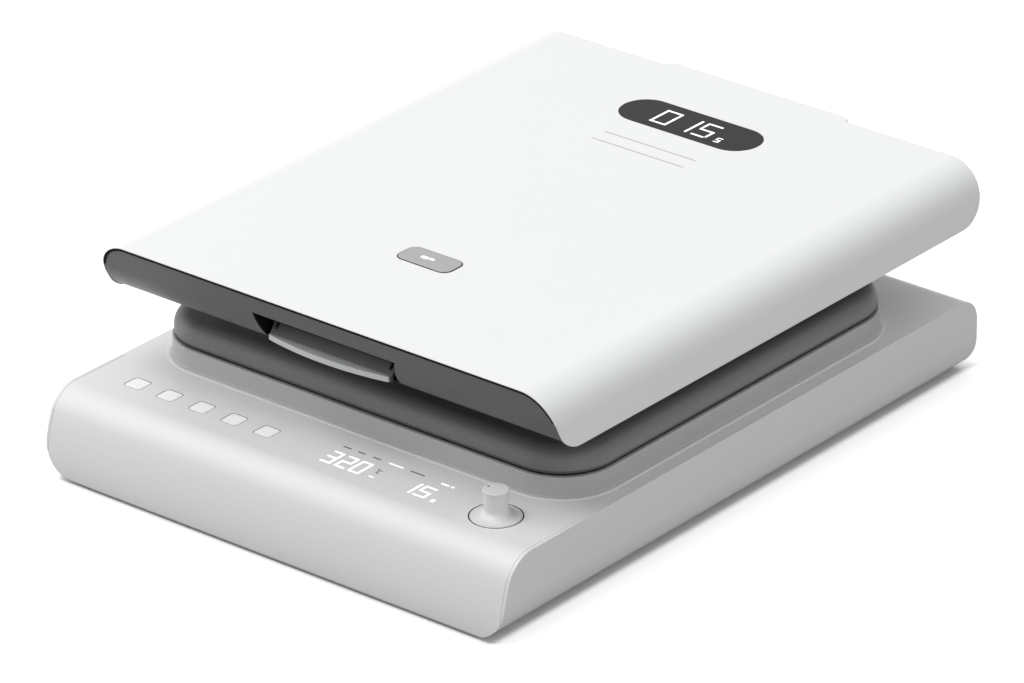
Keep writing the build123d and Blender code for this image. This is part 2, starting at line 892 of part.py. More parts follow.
def lid_tray():
    """Dark front face and floor of the lid, with the handle recess."""
    tray = tray_walls(0) + lip_zone(lip_wall + running_gap, lid_lip, lip_depth - running_gap)
    tray -= block(-300, 300, -300, 300, 0, lid_bottom + belly_drop)
    floor_top = lid_bottom + 2 * belly_drop
    tray -= tray_walls(wall) & block(-300, 300, -300, 300, floor_top, 200)
    tray -= block(-300, 300, tray_step_y, 300, floor_top + 8, 200)
    tray += belly(0, lid_bottom, lid_bottom + belly_drop) & tray_walls(0)
    tray -= belly(wall, lid_bottom + belly_drop, floor_top + 1) & tray_walls(wall)
    skin = recess_wall
    half = recess_half_width + skin
    pocket = block(-half, half, -300, recess_back_y + skin, recess_bottom - skin, recess_top + skin)
    tray += pocket & tray_walls(0)
    tray -= recess()
    tray -= block(-bracket_inner_x, bracket_inner_x, arm_slot_y, 300, 100, 140)
    tray -= post(screw_radius + 1, 100, 140, 0, bed_y)
    for x, y in corners(post_spread, post_spread, bed_y):
        tray -= post(post_radius + 4, 100, 140, x, y)
    for x, y in lid_boss_places():
        tray -= post(boss_bore, 100, 140, x, y)
    bore = handle_pin_radius + running_gap
    return tray - rod_x(bore, -pin_reach, pin_reach, handle_pivot_y, handle_pivot_z)


def recess():
    """Hollow behind the pull handle, narrower at its foot."""
    outline = make_face(Polyline(
        (-recess_foot_half_width, recess_bottom), (recess_foot_half_width, recess_bottom),
        (recess_half_width, recess_top), (-recess_half_width, recess_top), close=True))
    return extrude(Plane.XZ.offset(-recess_back_y) * outline, 100)


def lid_screws():
    """Screws from the tray into the shell."""
    z = lid_bottom + belly_drop
    head, shank, length = lid_screw_head, screw_shank, lid_screw_length
    return group(screw(x, y, z, head, shank, length, down=False) for x, y in lid_boss_places())


def lid_frame():
    """Welded steel frame: floor plate, two side flanges and two hinge arms."""
    half = frame_half_width
    frame = block(-half, half, frame_front, frame_rear, frame_bottom, frame_top)
    frame += block(-arm_outer_x, arm_outer_x, frame_rear - 6, arm_rear, frame_bottom, frame_top)
    for side in (-1, 1):
        x0, x1 = sorted((side * half, side * (half - frame_thickness)))
        frame += block(x0, x1, frame_front, frame_rear, frame_bottom, frame_top + frame_flange)
        outline = knuckle_outline(arm_rear - 28, arm_rear, frame_top, frame_bottom)
        x0, x1 = sorted((side * arm_inner_x, side * arm_outer_x))
        frame += extrude(Plane.YZ.offset(x0) * outline, x1 - x0)
    frame -= rod_x(hinge_pin_radius + running_gap, -100, 100, hinge_y, hinge_z)
    frame -= post(screw_radius + 2, 100, 140, 0, bed_y)
    for x, y in corners(post_spread, post_spread, bed_y):
        frame -= post(post_radius + bush_wall, 100, 140, x, y)
    for x, y in frame_windows:
        frame -= tablet(60, 50, 12, 100, 140, x, y)
    return frame


def guide_bushes():
    """Flanged bushes for the four guide posts."""
    bushes = []
    for x, y in corners(post_spread, post_spread, bed_y):
        bush = post(post_radius + bush_wall, lid_bottom + 0.4, bush_top, x, y)
        bush += post(post_radius + bush_wall + 3, frame_top, bush_flange_top, x, y)
        bushes.append(bush - post(post_radius + running_gap, 100, bush_top + 1, x, y))
    return group(bushes)


def screw_bearing():
    """Flanged bearing that carries the nut gear."""
    ring = post(bearing_radius, frame_top, gear_bottom - 0.4, 0, bed_y)
    return ring - post(hub_radius + running_gap, 100, 150, 0, bed_y)


def drive_bridge():
    """Bridge over the gears that holds the motor and the upper end of the nut."""
    left, right, depth = bridge_left, bridge_right, bridge_half_depth
    bridge = block(left, right, bed_y - depth, bed_y + depth, bridge_bottom, bridge_top)
    for side in (-1, 1):
        y0, y1 = sorted((bed_y + side * (depth - 3), bed_y + side * depth))
        bridge += block(left, right, y0, y1, frame_top, bridge_bottom)
    bridge -= post(hub_radius + running_gap, 100, 200, 0, bed_y)
    return bridge - post(motor_shaft + running_gap, 100, 200, gear_distance, bed_y)


def press_motor():
    """Flat gearmotor on the bridge."""
    can = post(motor_radius, bridge_top, bridge_top + 9, gear_distance, bed_y)
    can += post(cap_radius, bridge_top + 9, bridge_top + 13, gear_distance, bed_y)
    return can - post(motor_shaft + running_gap, 100, bridge_top + 8, gear_distance, bed_y)


def involute_point(base_radius, radius, turn):
    """Point of the involute at the given radius, turned by an angle."""
    pressure = math.acos(base_radius / radius)
    angle = math.tan(pressure) - pressure + turn
    return (radius * math.cos(angle), radius * math.sin(angle))


def tooth(teeth, slack):
    """One involute tooth, centred on +X."""
    pitch_radius = gear_module * teeth / 2
    base_radius = pitch_radius * math.cos(math.radians(20))
    tip = pitch_radius + 0.9 * gear_module
    root = pitch_radius - 1.2 * gear_module
    start = max(root, base_radius)
    flank = math.tan(math.radians(20)) - math.radians(20)
    half = math.pi / (2 * teeth) - slack / (4 * pitch_radius)
    radii = [start, (start + pitch_radius) / 2, pitch_radius, (tip + pitch_radius) / 2, tip]
    lower = [involute_point(base_radius, r, -half - flank) for r in radii]
    lower.insert(0, (root - 0.4, lower[0][1]))
    upper = [(x, -y) for x, y in reversed(lower)]
    return make_face(Polyline(*lower, *upper, close=True))


def gear_face_shape(teeth, slack):
    """Flat shape of a whole gear."""
    root = gear_module * teeth / 2 - 1.2 * gear_module
    one = tooth(teeth, slack)
    wheel = Circle(root)
    return wheel + [Rot(0, 0, i * 360 / teeth) * one for i in range(teeth)]


def nut_gear():
    """Large gear with the nut of the press screw in its hub."""
    gear = extrude(gear_face_shape(gear_teeth, backlash), gear_face)
    gear = Pos(0, 0, gear_bottom) * gear
    hole = post(web_hole_radius, gear_bottom - 1, gear_bottom + gear_face + 1, web_hole_ring, 0)
    for i in range(web_holes):
        gear -= Rot(0, 0, 30 + i * 360 / web_holes) * hole
    gear += post(hub_radius, frame_top + 0.4, bridge_top - 0.4)
    gear -= post(screw_radius + running_gap, 100, 200)
    return Pos(0, bed_y, 0) * gear


def motor_pinion():
    """Pinion on the motor shaft, half a tooth round so that it meshes."""
    pinion = extrude(gear_face_shape(pinion_teeth, backlash), gear_face)
    pinion = Pos(0, 0, gear_bottom) * pinion
    pinion += post(motor_shaft, gear_bottom, bridge_top + 7)
    half_tooth = 180 / pinion_teeth
    start = 180 - half_tooth
    return Pos(gear_distance, bed_y, 0) * Rot(0, 0, start) * pinion


def display_lens():
    """Smoked lens of the lid display."""
    length = display_length - lens_gap
    width = display_width - lens_gap
    return slot(length, width, lid_top - lens_thickness, lid_top, 0, display_y)


def display_box():
    """Light box under the lens."""
    top = lid_top - wall
    low = top - light_box_height
    box = tablet(display_length + 6, display_width + 8, 6, low, top, 0, display_y)
    well_length = display_length - 20
    well_width = display_width - 12
    return box - tablet(well_length, well_width, 4, low + 1.5, top + 1, 0, display_y)


def start_button():
    """Long button cap with a retaining flange."""
    low = button_foot
    cap = tablet(button_length, button_width, button_radius, low, lid_top + button_proud, 0, button_y)
    cap = fillet(cap.faces().sort_by(Axis.Z)[-1].edges(), button_edge)
    flange = tablet(button_length + 5, button_width + 5, 8, low, lid_top - wall - 0.1, 0, button_y)
    return cap + flange


def button_frame():
    """Frame under the button, hung from the shell."""
    top = lid_top - wall
    low = top - frame_drop
    frame = tablet(button_length + 12, button_width + 12, 9, low, top, 0, button_y)
    return frame - tablet(button_length + 6, button_width + 6, 8.3, low + 2, top + 1, 0, button_y)


def button_switch():
    """Push switch on the floor of the frame."""
    low = lid_top - wall - frame_drop + 2
    top = low + 3.4
    body = block(-6, 6, button_y - 6, button_y + 6, low, top)
    return body + post(2, top, button_foot - button_travel - 0.1, 0, button_y)


# Pull handle

def handle_flap():
    """Dark flap that swings on two ears inside the recess."""
    foot = lip_back_y + 0.05
    plate = make_face(Polyline(
        (-213.6, 145.6), (-211.8, 143.7), (foot + 3, 136.4), (foot + 3, 133.6),
        (foot, 133.6), (foot, 137.6), close=True))
    flap = extrude(Plane.YZ.offset(-handle_half_width) * plate, 2 * handle_half_width)
    web = Polyline((-208.6, 151.6), (-204.4, 146.4), (-212.0, 142.8), (-215.4, 145.0), close=True)
    ear = make_face(web) + Pos(handle_pivot_y, handle_pivot_z) * Circle(ear_radius)
    inner = handle_half_width - ear_width
    for side in (-1, 1):
        x0, x1 = sorted((side * inner, side * (inner - ear_notch)))
        flap -= block(x0, x1, -230, -200, notch_foot_z, 160)
        x0, x1 = sorted((side * handle_half_width, side * inner))
        flap += extrude(Plane.YZ.offset(x0) * ear, x1 - x0)
    return flap - rod_x(handle_pin_radius + running_gap, -80, 80, handle_pivot_y, handle_pivot_z)


def grip_plan(reach, back_y, bow):
    """Crescent seen from above."""
    back = Line((reach, back_y), (-reach, back_y))
    front = ThreePointArc((-reach, back_y), (0, back_y - bow), (reach, back_y))
    return make_face([back, front])


def handle_bar():
    """Silver grip, bowed to the front, hollow below for the finger tips."""
    reach = handle_half_width - 1
    low = lip_top - lip_thickness
    heel = block(-reach, reach, lip_back_y - 2, lip_back_y, low, lip_top)
    bar = extrude(Pos(0, 0, low) * grip_plan(reach, lip_back_y - 2, lip_bow - 2), lip_thickness) + heel
    bar = fillet(bar.faces().sort_by(Axis.Z)[-1].edges(), lip_edge)
    hollow = grip_plan(reach - 10, lip_back_y - 1.6, lip_bow - 3.4)
    return bar - extrude(Pos(0, 0, low - 1) * hollow, lip_thickness - 0.8)


def handle_pin():
    """Pin of the flap."""
    return rod_x(handle_pin_radius, -pin_reach, pin_reach, handle_pivot_y, handle_pivot_z)


# Heating head

def head_housing():
    """Slab-shaped cover of the heating head, open below."""
    body = tablet(head_width, head_depth, head_radius, head_bottom, head_top, 0, bed_y)
    body = fillet(body.faces().sort_by(Axis.Z)[-1].edges(), head_round)
    skirt_width = head_width - 2 * skirt_inset
    skirt_depth = head_depth - 2 * skirt_inset
    body += tablet(skirt_width, skirt_depth, head_radius - skirt_inset, skirt_bottom, head_bottom, 0, bed_y)
    cavity = tablet(head_cavity, head_cavity, platen_radius + 1.5, 70, head_top - head_wall, 0, bed_y)
    cavity = fillet(cavity.faces().sort_by(Axis.Z)[-1].edges(), head_cavity_fillet)
    body -= cavity
    body -= post(screw_radius + 1, 90, 120, 0, bed_y)
    for x, y in corners(post_spread, post_spread, bed_y):
        body -= post(post_radius + 1, 90, 120, x, y)
    return body


def heating_plate():
    """Aluminium platen."""
    top = platen_bottom + platen_thickness
    plate = tablet(platen_size, platen_size, platen_radius, platen_bottom, top, 0, bed_y)
    return chamfer(plate.faces().sort_by(Axis.Z)[0].edges(), 0.8)


def heating_element():
    """Flat heating tube laid to and fro across the platen."""
    low = platen_bottom + platen_thickness
    high = low + element_thickness
    reach = element_half
    middle = (element_rows - 1) / 2
    rows = [bed_y + (i - middle) * element_pitch for i in range(element_rows)]
    element = block(-reach, reach, rows[0] - 4, rows[0] + 4, low, high)
    for i, y in enumerate(rows[1:]):
        element += block(-reach, reach, y - 4, y + 4, low, high)
        end = reach - 8 if i % 2 == 0 else -reach
        element += block(end, end + 8, y - element_pitch - 4, y + 4, low, high)
    return element


def stud_places():
    """Eight spacers between the platen and the carrier."""
    spots = [(x, y) for x in stud_x for y in stud_y]
    return [(x, bed_y + y) for x, y in spots if x or y]


def platen_studs():
    """Spacers that hang the platen from the carrier."""
    low = platen_bottom + platen_thickness
    return group(post(stud_radius, low, post_bottom, x, y) for x, y in stud_places())


def head_insulation():
    """Mineral blanket over the element."""
    low = platen_bottom + platen_thickness + element_thickness
    blanket = tablet(blanket_size, blanket_size, 28, low, post_bottom, 0, bed_y)
    for x, y in stud_places():
        blanket -= post(stud_radius + 0.5, 80, 110, x, y)
    return blanket - post(10, 80, 110, sensor_x, bed_y)


def heat_sensor():
    """Sensor clipped to the platen."""
    low = platen_bottom + platen_thickness
    foot = post(8, low, low + 4, sensor_x, bed_y)
    return foot + post(4, low + 4, post_bottom - 1, sensor_x, bed_y)


def head_carrier():
    """Steel plate that takes the screw and the posts."""
    top = post_bottom + carrier_thickness
    plate = tablet(carrier_size, carrier_size, 14, post_bottom, top, 0, bed_y)
    plate -= post(screw_radius + 0.02, 90, 110, 0, bed_y)
    for x, y in corners(post_spread, post_spread, bed_y):
        plate -= post(post_radius + 0.02, 90, 110, x, y)
    return plate


def guide_posts():
    """Four polished posts."""
    spots = corners(post_spread, post_spread, bed_y)
    return group(post(post_radius, post_bottom, post_top, x, y) for x, y in spots)


def press_screw():
    """Press screw, fixed to the carrier, with a chamfered top."""
    body = post(screw_radius, post_bottom, post_top, 0, bed_y)
    return chamfer(body.edges().sort_by(Axis.Z)[-1], 1.2)


SUB_PARTS = {
    "base_cover": base_cover,
    "base_pan": base_pan,
    "rubber_feet": rubber_feet,
    "pan_screws": pan_screws,
    "bed_rim": bed_rim,
    "bed_plate": bed_plate,
    "bed_pad": bed_pad,
    "bed_pillars": bed_pillars,
    "touch_keys": touch_keys,
    "knob_bezel": knob_bezel,
    "knob": knob,
    "encoder_shaft": encoder_shaft,
    "encoder_body": encoder_body,
    "control_board": control_board,
    "panel_display": panel_display,
    "power_inlet": power_inlet,
    "inlet_pins": inlet_pins,
    "switch_frame": switch_frame,
    "switch_rocker": switch_rocker,
    "power_board": power_board,
    "power_parts": power_parts,
    "hinge_brackets": hinge_brackets,
    "hinge_pin": hinge_pin,
    "hinge_springs": hinge_springs,
    "hinge_tower": hinge_tower,
    "hinge_anchor": hinge_anchor,
    "hinge_bolts": hinge_bolts,
    "lid_shell": lid_shell,
    "lid_tray": lid_tray,
    "lid_screws": lid_screws,
    "lid_frame": lid_frame,
    "guide_bushes": guide_bushes,
    "screw_bearing": screw_bearing,
    "drive_bridge": drive_bridge,
    "press_motor": press_motor,
    "nut_gear": nut_gear,
    "motor_pinion": motor_pinion,
    "display_lens": display_lens,
    "display_box": display_box,
    "start_button": start_button,
    "button_frame": button_frame,
    "button_switch": button_switch,
    "handle_flap": handle_flap,
    "handle_bar": handle_bar,
    "handle_pin": handle_pin,
    "head_housing": head_housing,
    "heating_plate": heating_plate,
    "heating_element": heating_element,
    "platen_studs": platen_studs,
    "head_insulation": head_insulation,
    "heat_sensor": heat_sensor,
    "head_carrier": head_carrier,
    "guide_posts": guide_posts,
    "press_screw": press_screw,
}


def main():
    """Write every sub-part."""
    os.makedirs("parts", exist_ok=True)
    for name, build in SUB_PARTS.items():
        save(name, build())


main()
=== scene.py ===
import json
import logging
import math
from dataclasses import dataclass, field, replace
from enum import Enum
from typing import Callable, Iterable, Optional, Sequence, Union

import bmesh
import bpy
from mathutils import Matrix, Vector


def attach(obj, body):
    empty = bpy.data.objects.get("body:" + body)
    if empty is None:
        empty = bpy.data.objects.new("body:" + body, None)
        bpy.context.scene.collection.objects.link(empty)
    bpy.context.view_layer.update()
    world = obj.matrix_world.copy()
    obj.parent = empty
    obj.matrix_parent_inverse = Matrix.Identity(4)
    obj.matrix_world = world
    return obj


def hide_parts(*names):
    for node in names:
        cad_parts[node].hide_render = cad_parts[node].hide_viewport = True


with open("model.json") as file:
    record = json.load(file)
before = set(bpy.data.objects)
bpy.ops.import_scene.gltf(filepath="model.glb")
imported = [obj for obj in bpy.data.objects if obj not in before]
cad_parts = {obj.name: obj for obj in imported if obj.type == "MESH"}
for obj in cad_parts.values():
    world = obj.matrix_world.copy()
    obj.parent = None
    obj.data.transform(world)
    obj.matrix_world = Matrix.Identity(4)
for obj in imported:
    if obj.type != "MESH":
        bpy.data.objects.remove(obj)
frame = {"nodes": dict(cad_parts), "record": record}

log = logging.getLogger("heat_press")

MM = 0.001
MERGE = 1e-4
NUMBER = "NodeSocketFloat"
BUMP_STRENGTH = 0.6
SPECK_SHADE = 0.82

Tree = bpy.types.NodeTree
Node = bpy.types.Node
Socket = bpy.types.NodeSocket
Value = Union[Socket, float, tuple]
Test = Callable[[Vector], bool]


# Shader groups

class Effect(Enum):
    """Shared surface effects."""

    GRAIN = "moulded_grain"
    CLOUD = "soft_cloud"
    WEAR = "edge_wear"
    BRUSH = "brushed_lines"


def new_group(effect: Effect, inputs: Iterable[tuple], outputs: Iterable[str]) -> Tree:
    """Make an empty shader group.

    Args:
        effect: Effect that the group holds.
        inputs: Pairs of socket name and default number.
        outputs: Names of the numbers that it gives.

    Returns:
        The group with its two end nodes.
    """
    tree = bpy.data.node_groups.new(effect.value, "ShaderNodeTree")
    for label, value in inputs:
        socket = tree.interface.new_socket(label, in_out="INPUT", socket_type=NUMBER)
        socket.default_value = value
    for label in outputs:
        tree.interface.new_socket(label, in_out="OUTPUT", socket_type=NUMBER)
    tree.nodes.new("NodeGroupInput")
    tree.nodes.new("NodeGroupOutput")
    return tree


def add(tree: Tree, kind: str, **settings) -> Node:
    """Add a node and set its plain properties.

    Args:
        tree: Tree that takes the node.
        kind: Blender's node type.
        **settings: Properties of the node.

    Returns:
        The node.
    """
    node = tree.nodes.new(kind)
    for key, value in settings.items():
        setattr(node, key, value)
    return node


def ends(tree: Tree) -> tuple:
    """Input and output node of a group."""
    start = next(n for n in tree.nodes if n.type == "GROUP_INPUT")
    finish = next(n for n in tree.nodes if n.type == "GROUP_OUTPUT")
    return start, finish


def feed(tree: Tree, socket: Socket, value: Value) -> None:
    """Link a socket into an input, or set the input to a plain value."""
    if isinstance(value, Socket):
        tree.links.new(value, socket)
    else:
        socket.default_value = value


def maths(tree: Tree, operation: str, first: Value, second: Value, clamp: bool = False) -> Socket:
    """Join two values with a Math node.

    Args:
        tree: Tree that takes the node.
        operation: Name of the operation.
        first: Socket or number.
        second: Socket or number.
        clamp: Keep the result between 0 and 1.

    Returns:
        The result's socket.
    """
    node = add(tree, "ShaderNodeMath", operation=operation, use_clamp=clamp)
    feed(tree, node.inputs[0], first)
    feed(tree, node.inputs[1], second)
    return node.outputs[0]


def object_noise(tree: Tree, scale: Value, detail: float, stretch: tuple = (1, 1, 1)) -> Socket:
    """Noise on Object coordinates.

    Args:
        tree: Tree that takes the nodes.
        scale: Socket or number, per metre.
        detail: Octaves.
        stretch: Scale along each axis.

    Returns:
        The noise value's socket.
    """
    place = add(tree, "ShaderNodeTexCoord")
    turn = add(tree, "ShaderNodeMapping")
    turn.inputs["Scale"].default_value = stretch
    tree.links.new(place.outputs["Object"], turn.inputs["Vector"])
    noise = add(tree, "ShaderNodeTexNoise")
    noise.inputs["Detail"].default_value = detail
    tree.links.new(turn.outputs[0], noise.inputs["Vector"])
    feed(tree, noise.inputs["Scale"], scale)
    return noise.outputs["Fac"]


def build_grain() -> Tree:
    """Fine pebbled texture of moulded plastic."""
    tree = new_group(Effect.GRAIN, (("Scale", 900.0),), ("Height", "Mask"))
    start, finish = ends(tree)
    fine = object_noise(tree, start.outputs["Scale"], 3.0)
    pebble = add(tree, "ShaderNodeTexVoronoi", feature="SMOOTH_F1")
    place = add(tree, "ShaderNodeTexCoord")
    tree.links.new(place.outputs["Object"], pebble.inputs["Vector"])
    tree.links.new(start.outputs["Scale"], pebble.inputs["Scale"])
    soft = maths(tree, "MULTIPLY", fine, 0.6)
    pits = maths(tree, "MULTIPLY", pebble.outputs["Distance"], 0.4)
    both = maths(tree, "ADD", soft, pits)
    tree.links.new(both, finish.inputs["Height"])
    tree.links.new(fine, finish.inputs["Mask"])
    return tree


def build_cloud() -> Tree:
    """Slow drift of tone over a surface, with a few faint smudges."""
    tree = new_group(Effect.CLOUD, (("Scale", 9.0),), ("Mask", "Smudge"))
    start, finish = ends(tree)
    tree.links.new(object_noise(tree, start.outputs["Scale"], 4.0), finish.inputs["Mask"])
    smudge = object_noise(tree, maths(tree, "MULTIPLY", start.outputs["Scale"], 5.0), 6.0)
    ramp = add(tree, "ShaderNodeMapRange")
    ramp.inputs["From Min"].default_value = 0.55
    ramp.inputs["From Max"].default_value = 0.75
    tree.links.new(smudge, ramp.inputs["Value"])
    tree.links.new(ramp.outputs[0], finish.inputs["Smudge"])
    return tree


def build_wear() -> Tree:
    """Mask that is 1 along sharp edges, broken up by noise."""
    tree = new_group(Effect.WEAR, (("Radius", 0.0008), ("Amount", 1.0)), ("Mask",))
    start, finish = ends(tree)
    soft = add(tree, "ShaderNodeBevel", samples=4)
    tree.links.new(start.outputs["Radius"], soft.inputs["Radius"])
    plain = add(tree, "ShaderNodeNewGeometry")
    dot = add(tree, "ShaderNodeVectorMath", operation="DOT_PRODUCT")
    tree.links.new(soft.outputs[0], dot.inputs[0])
    tree.links.new(plain.outputs["Normal"], dot.inputs[1])
    turned = maths(tree, "MULTIPLY", maths(tree, "SUBTRACT", 1.0, dot.outputs["Value"]), 6.0, True)
    broken = maths(tree, "MULTIPLY", turned, object_noise(tree, 220.0, 4.0), True)
    tree.links.new(maths(tree, "MULTIPLY", broken, start.outputs["Amount"], True), finish.inputs["Mask"])
    return tree


def build_brush() -> Tree:
    """Fine lines of brushed or rolled metal along X."""
    tree = new_group(Effect.BRUSH, (("Scale", 60.0),), ("Height", "Mask"))
    start, finish = ends(tree)
    lines = object_noise(tree, start.outputs["Scale"], 5.0, (0.4, 40.0, 40.0))
    tree.links.new(lines, finish.inputs["Height"])
    tree.links.new(lines, finish.inputs["Mask"])
    return tree


@dataclass(frozen=True)
class Finish:
    """A procedural surface finish.

    Colours are linear. Each number is the middle of what the nodes then vary.
    """

    name: str
    slot: str
    colour: tuple
    roughness: float
    metallic: float = 0.0
    drift: float = 0.03
    grain: float = 900.0
    depth: float = 0.00002
    rough_swing: float = 0.06
    wear: float = 0.0
    worn: tuple = (0.8, 0.8, 0.8)
    brushed: bool = False
    specular: float = 0.5
    glow: float = 0.0

    def material(self) -> bpy.types.Material:
        """Blender material of this finish, built once."""
        found = bpy.data.materials.get(self.name)
        return found if found else self.build()

    def build(self) -> bpy.types.Material:
        """Build the node tree.

        Returns:
            The new material.
        """
        made = bpy.data.materials.new(self.name)
        made.use_nodes = True
        made.diffuse_color = (*self.colour, 1.0)
        tree = made.node_tree
        shader = tree.nodes["Principled BSDF"]
        cloud = self.place(tree, Effect.CLOUD)
        texture = self.place(tree, Effect.BRUSH if self.brushed else Effect.GRAIN)
        if not self.brushed:
            texture.inputs["Scale"].default_value = self.grain
        deep, light = self.shade(1 - self.drift), self.shade(1 + self.drift)
        tone = self.mix(tree, cloud.outputs["Mask"], deep, light)
        speck = maths(tree, "MULTIPLY", texture.outputs["Mask"], self.drift * 2)
        tone = self.mix(tree, speck, tone, self.shade(SPECK_SHADE))
        if self.wear > 0:
            wear = self.place(tree, Effect.WEAR)
            wear.inputs["Amount"].default_value = self.wear
            tone = self.mix(tree, wear.outputs["Mask"], tone, (*self.worn, 1.0))
        tree.links.new(tone, shader.inputs["Base Color"])
        rough = maths(tree, "MULTIPLY", cloud.outputs["Smudge"], self.rough_swing)
        fine = maths(tree, "MULTIPLY", texture.outputs["Mask"], self.rough_swing)
        rough = maths(tree, "ADD", rough, fine)
        rough = maths(tree, "ADD", rough, self.roughness - self.rough_swing * 0.6, True)
        tree.links.new(rough, shader.inputs["Roughness"])
        bump = add(tree, "ShaderNodeBump")
        bump.inputs["Distance"].default_value = self.depth
        bump.inputs["Strength"].default_value = BUMP_STRENGTH
        tree.links.new(texture.outputs["Height"], bump.inputs["Height"])
        tree.links.new(bump.outputs[0], shader.inputs["Normal"])
        shader.inputs["Metallic"].default_value = self.metallic
        shader.inputs["Specular IOR Level"].default_value = self.specular
        if self.glow:
            tree.links.new(tone, shader.inputs["Emission Color"])
            shader.inputs["Emission Strength"].default_value = self.glow
        return made

    def shade(self, factor: float) -> tuple:
        """The colour, lighter or darker."""
        return (*(min(1.0, c * factor) for c in self.colour), 1.0)

    @staticmethod
    def place(tree: Tree, effect: Effect) -> Node:
        """Put a shared group into a tree."""
        node = tree.nodes.new("ShaderNodeGroup")
        node.node_tree = bpy.data.node_groups[effect.value]
        return node

    @staticmethod
    def mix(tree: Tree, factor: Socket, first: Value, second: Value) -> Socket:
        """Mix two colours.

        Args:
            tree: Tree that takes the node.
            factor: Socket of the mask.
            first: Socket or colour shown where the mask is 0.
            second: Socket or colour shown where the mask is 1.

        Returns:
            The colour's socket.
        """
        node = add(tree, "ShaderNodeMix", data_type="RGBA")
        tree.links.new(factor, node.inputs[0])
        feed(tree, node.inputs[6], first)
        feed(tree, node.inputs[7], second)
        return node.outputs[2]


# Finishes of this press, by the record's slots

WHITE = Finish("white_moulding", "white_shell", (0.89, 0.9, 0.9), 0.4,
               drift=0.006, depth=0.000008, specular=0.35)
GREY = Finish("pale_grey_moulding", "grey_shell", (0.81, 0.815, 0.815), 0.38,
              drift=0.01, depth=0.000008, specular=0.35)
# Painted shade: a darker copy of the pale grey moulding, for the ring wall in the lid's shade and for the
# strips in the lid's grooves.
SHADED_GREY = replace(GREY, name="painted_shade_grey", colour=(0.48, 0.485, 0.485), roughness=0.4)
KNOB = replace(GREY, name="knob_moulding", colour=(0.76, 0.765, 0.765))
RING = Finish("pale_ring", "silver_trim", (0.8, 0.805, 0.805), 0.34, drift=0.01, depth=0.000006, wear=0.1)
DARK = Finish("dark_moulding", "dark_shell", (0.105, 0.106, 0.11), 0.42,
              drift=0.04, depth=0.000012, wear=0.1, worn=(0.2, 0.2, 0.2), specular=0.3)
HEAD = Finish("dark_satin_coat", "head_cover", (0.18, 0.182, 0.185), 0.5, 0.2,
              grain=1400, depth=0.000012, wear=0.1, worn=(0.25, 0.25, 0.26), specular=0.25)
# Painted shade: a darker copy of the head's coat, for the recessed band under the slab, which is in shade.
SHADE_SKIRT = Finish("painted_shade_skirt", "head_cover", (0.085, 0.085, 0.087), 0.5, drift=0.05, specular=0.3)
LENS = Finish("smoked_acrylic", "smoked_lens", (0.016, 0.016, 0.017), 0.3,
              drift=0.02, depth=0.000002, specular=0.1)
KEY = Finish("frosted_key", "key_lens", (0.9, 0.9, 0.895), 0.45, drift=0.01, glow=0.13)
LIT = Finish("lit_digit", "key_lens", (0.95, 0.96, 0.96), 0.5, drift=0.005, glow=0.6, specular=0.2)
OUTLINE = Finish("key_outline", "key_lens", (0.34, 0.345, 0.35), 0.5, specular=0.2)
MARK = Finish("grey_print", "key_lens", (0.1, 0.101, 0.104), 0.5, drift=0.04, specular=0.2)
SILVER = Finish("satin_silver", "silver_trim", (0.55, 0.57, 0.58), 0.32, 0.5,
                depth=0.000003, wear=0.25, brushed=True)
GRIP = replace(SILVER, name="satin_grip", colour=(0.5, 0.51, 0.515), roughness=0.36, metallic=0.15)
BUTTON = Finish("silver_paint", "silver_button", (0.44, 0.445, 0.445), 0.36, 0.2,
                depth=0.00001, wear=0.1, specular=0.25)
SILICONE = Finish("silicone", "pad_silicone", (0.62, 0.61, 0.58), 0.62, drift=0.04, grain=500, depth=0.00004)
RUBBER = Finish("foot_rubber", "foot_rubber", (0.025, 0.025, 0.025), 0.75,
                drift=0.1, wear=0.2, worn=(0.1, 0.1, 0.1))
PLATEN = Finish("non_stick_coating", "platen_coating", (0.07, 0.07, 0.073), 0.38,
                drift=0.06, grain=1200, wear=0.15, worn=(0.45, 0.45, 0.45))
CAST = Finish("cast_alloy", "cast_alloy", (0.5, 0.51, 0.52), 0.42, 0.9,
              drift=0.06, grain=700, depth=0.00006, wear=0.3)
ZINC = Finish("zinc_plate", "plated_steel", (0.55, 0.56, 0.57), 0.34, 1.0,
              drift=0.06, depth=0.00001, wear=0.25, brushed=True)
STEEL = Finish("ground_steel", "polished_steel", (0.62, 0.62, 0.63), 0.2, 1.0,
               depth=0.000004, wear=0.25, brushed=True)
BRONZE = Finish("sintered_bronze", "bronze", (0.45, 0.27, 0.11), 0.38, 1.0,
                drift=0.08, grain=1500, wear=0.25)
ACETAL = Finish("acetal", "gear_plastic", (0.75, 0.73, 0.66), 0.4)
BOARD = Finish("solder_resist", "circuit_board", (0.02, 0.13, 0.055), 0.35, drift=0.1, grain=300)
COMPONENT = Finish("component_body", "part_body", (0.045, 0.045, 0.05), 0.5, drift=0.06, wear=0.2)
BLANKET = Finish("fibre_blanket", "blanket", (0.72, 0.69, 0.6), 0.95, drift=0.08, grain=350, depth=0.0003)
BLACK = Finish("black_moulding", "black_plastic", (0.022, 0.022, 0.024), 0.45,
               drift=0.06, wear=0.2, worn=(0.12, 0.12, 0.12))
# Painted shadow: near-black and almost unreflective, put into gaps, seams and recesses that are only in
# shade.
PAINTED_SHADOW = Finish("painted_gap_shadow", "black_plastic", (0.012, 0.012, 0.012), 0.8, drift=0.05, specular=0.05)

BY_SLOT = {
    finish.slot: finish
    for finish in (WHITE, GREY, DARK, HEAD, LENS, KEY, SILVER, BUTTON, SILICONE, RUBBER, PLATEN, CAST, ZINC,
                   STEEL, BRONZE, ACETAL, BOARD, COMPONENT, BLANKET, BLACK)
}


# Mesh tools

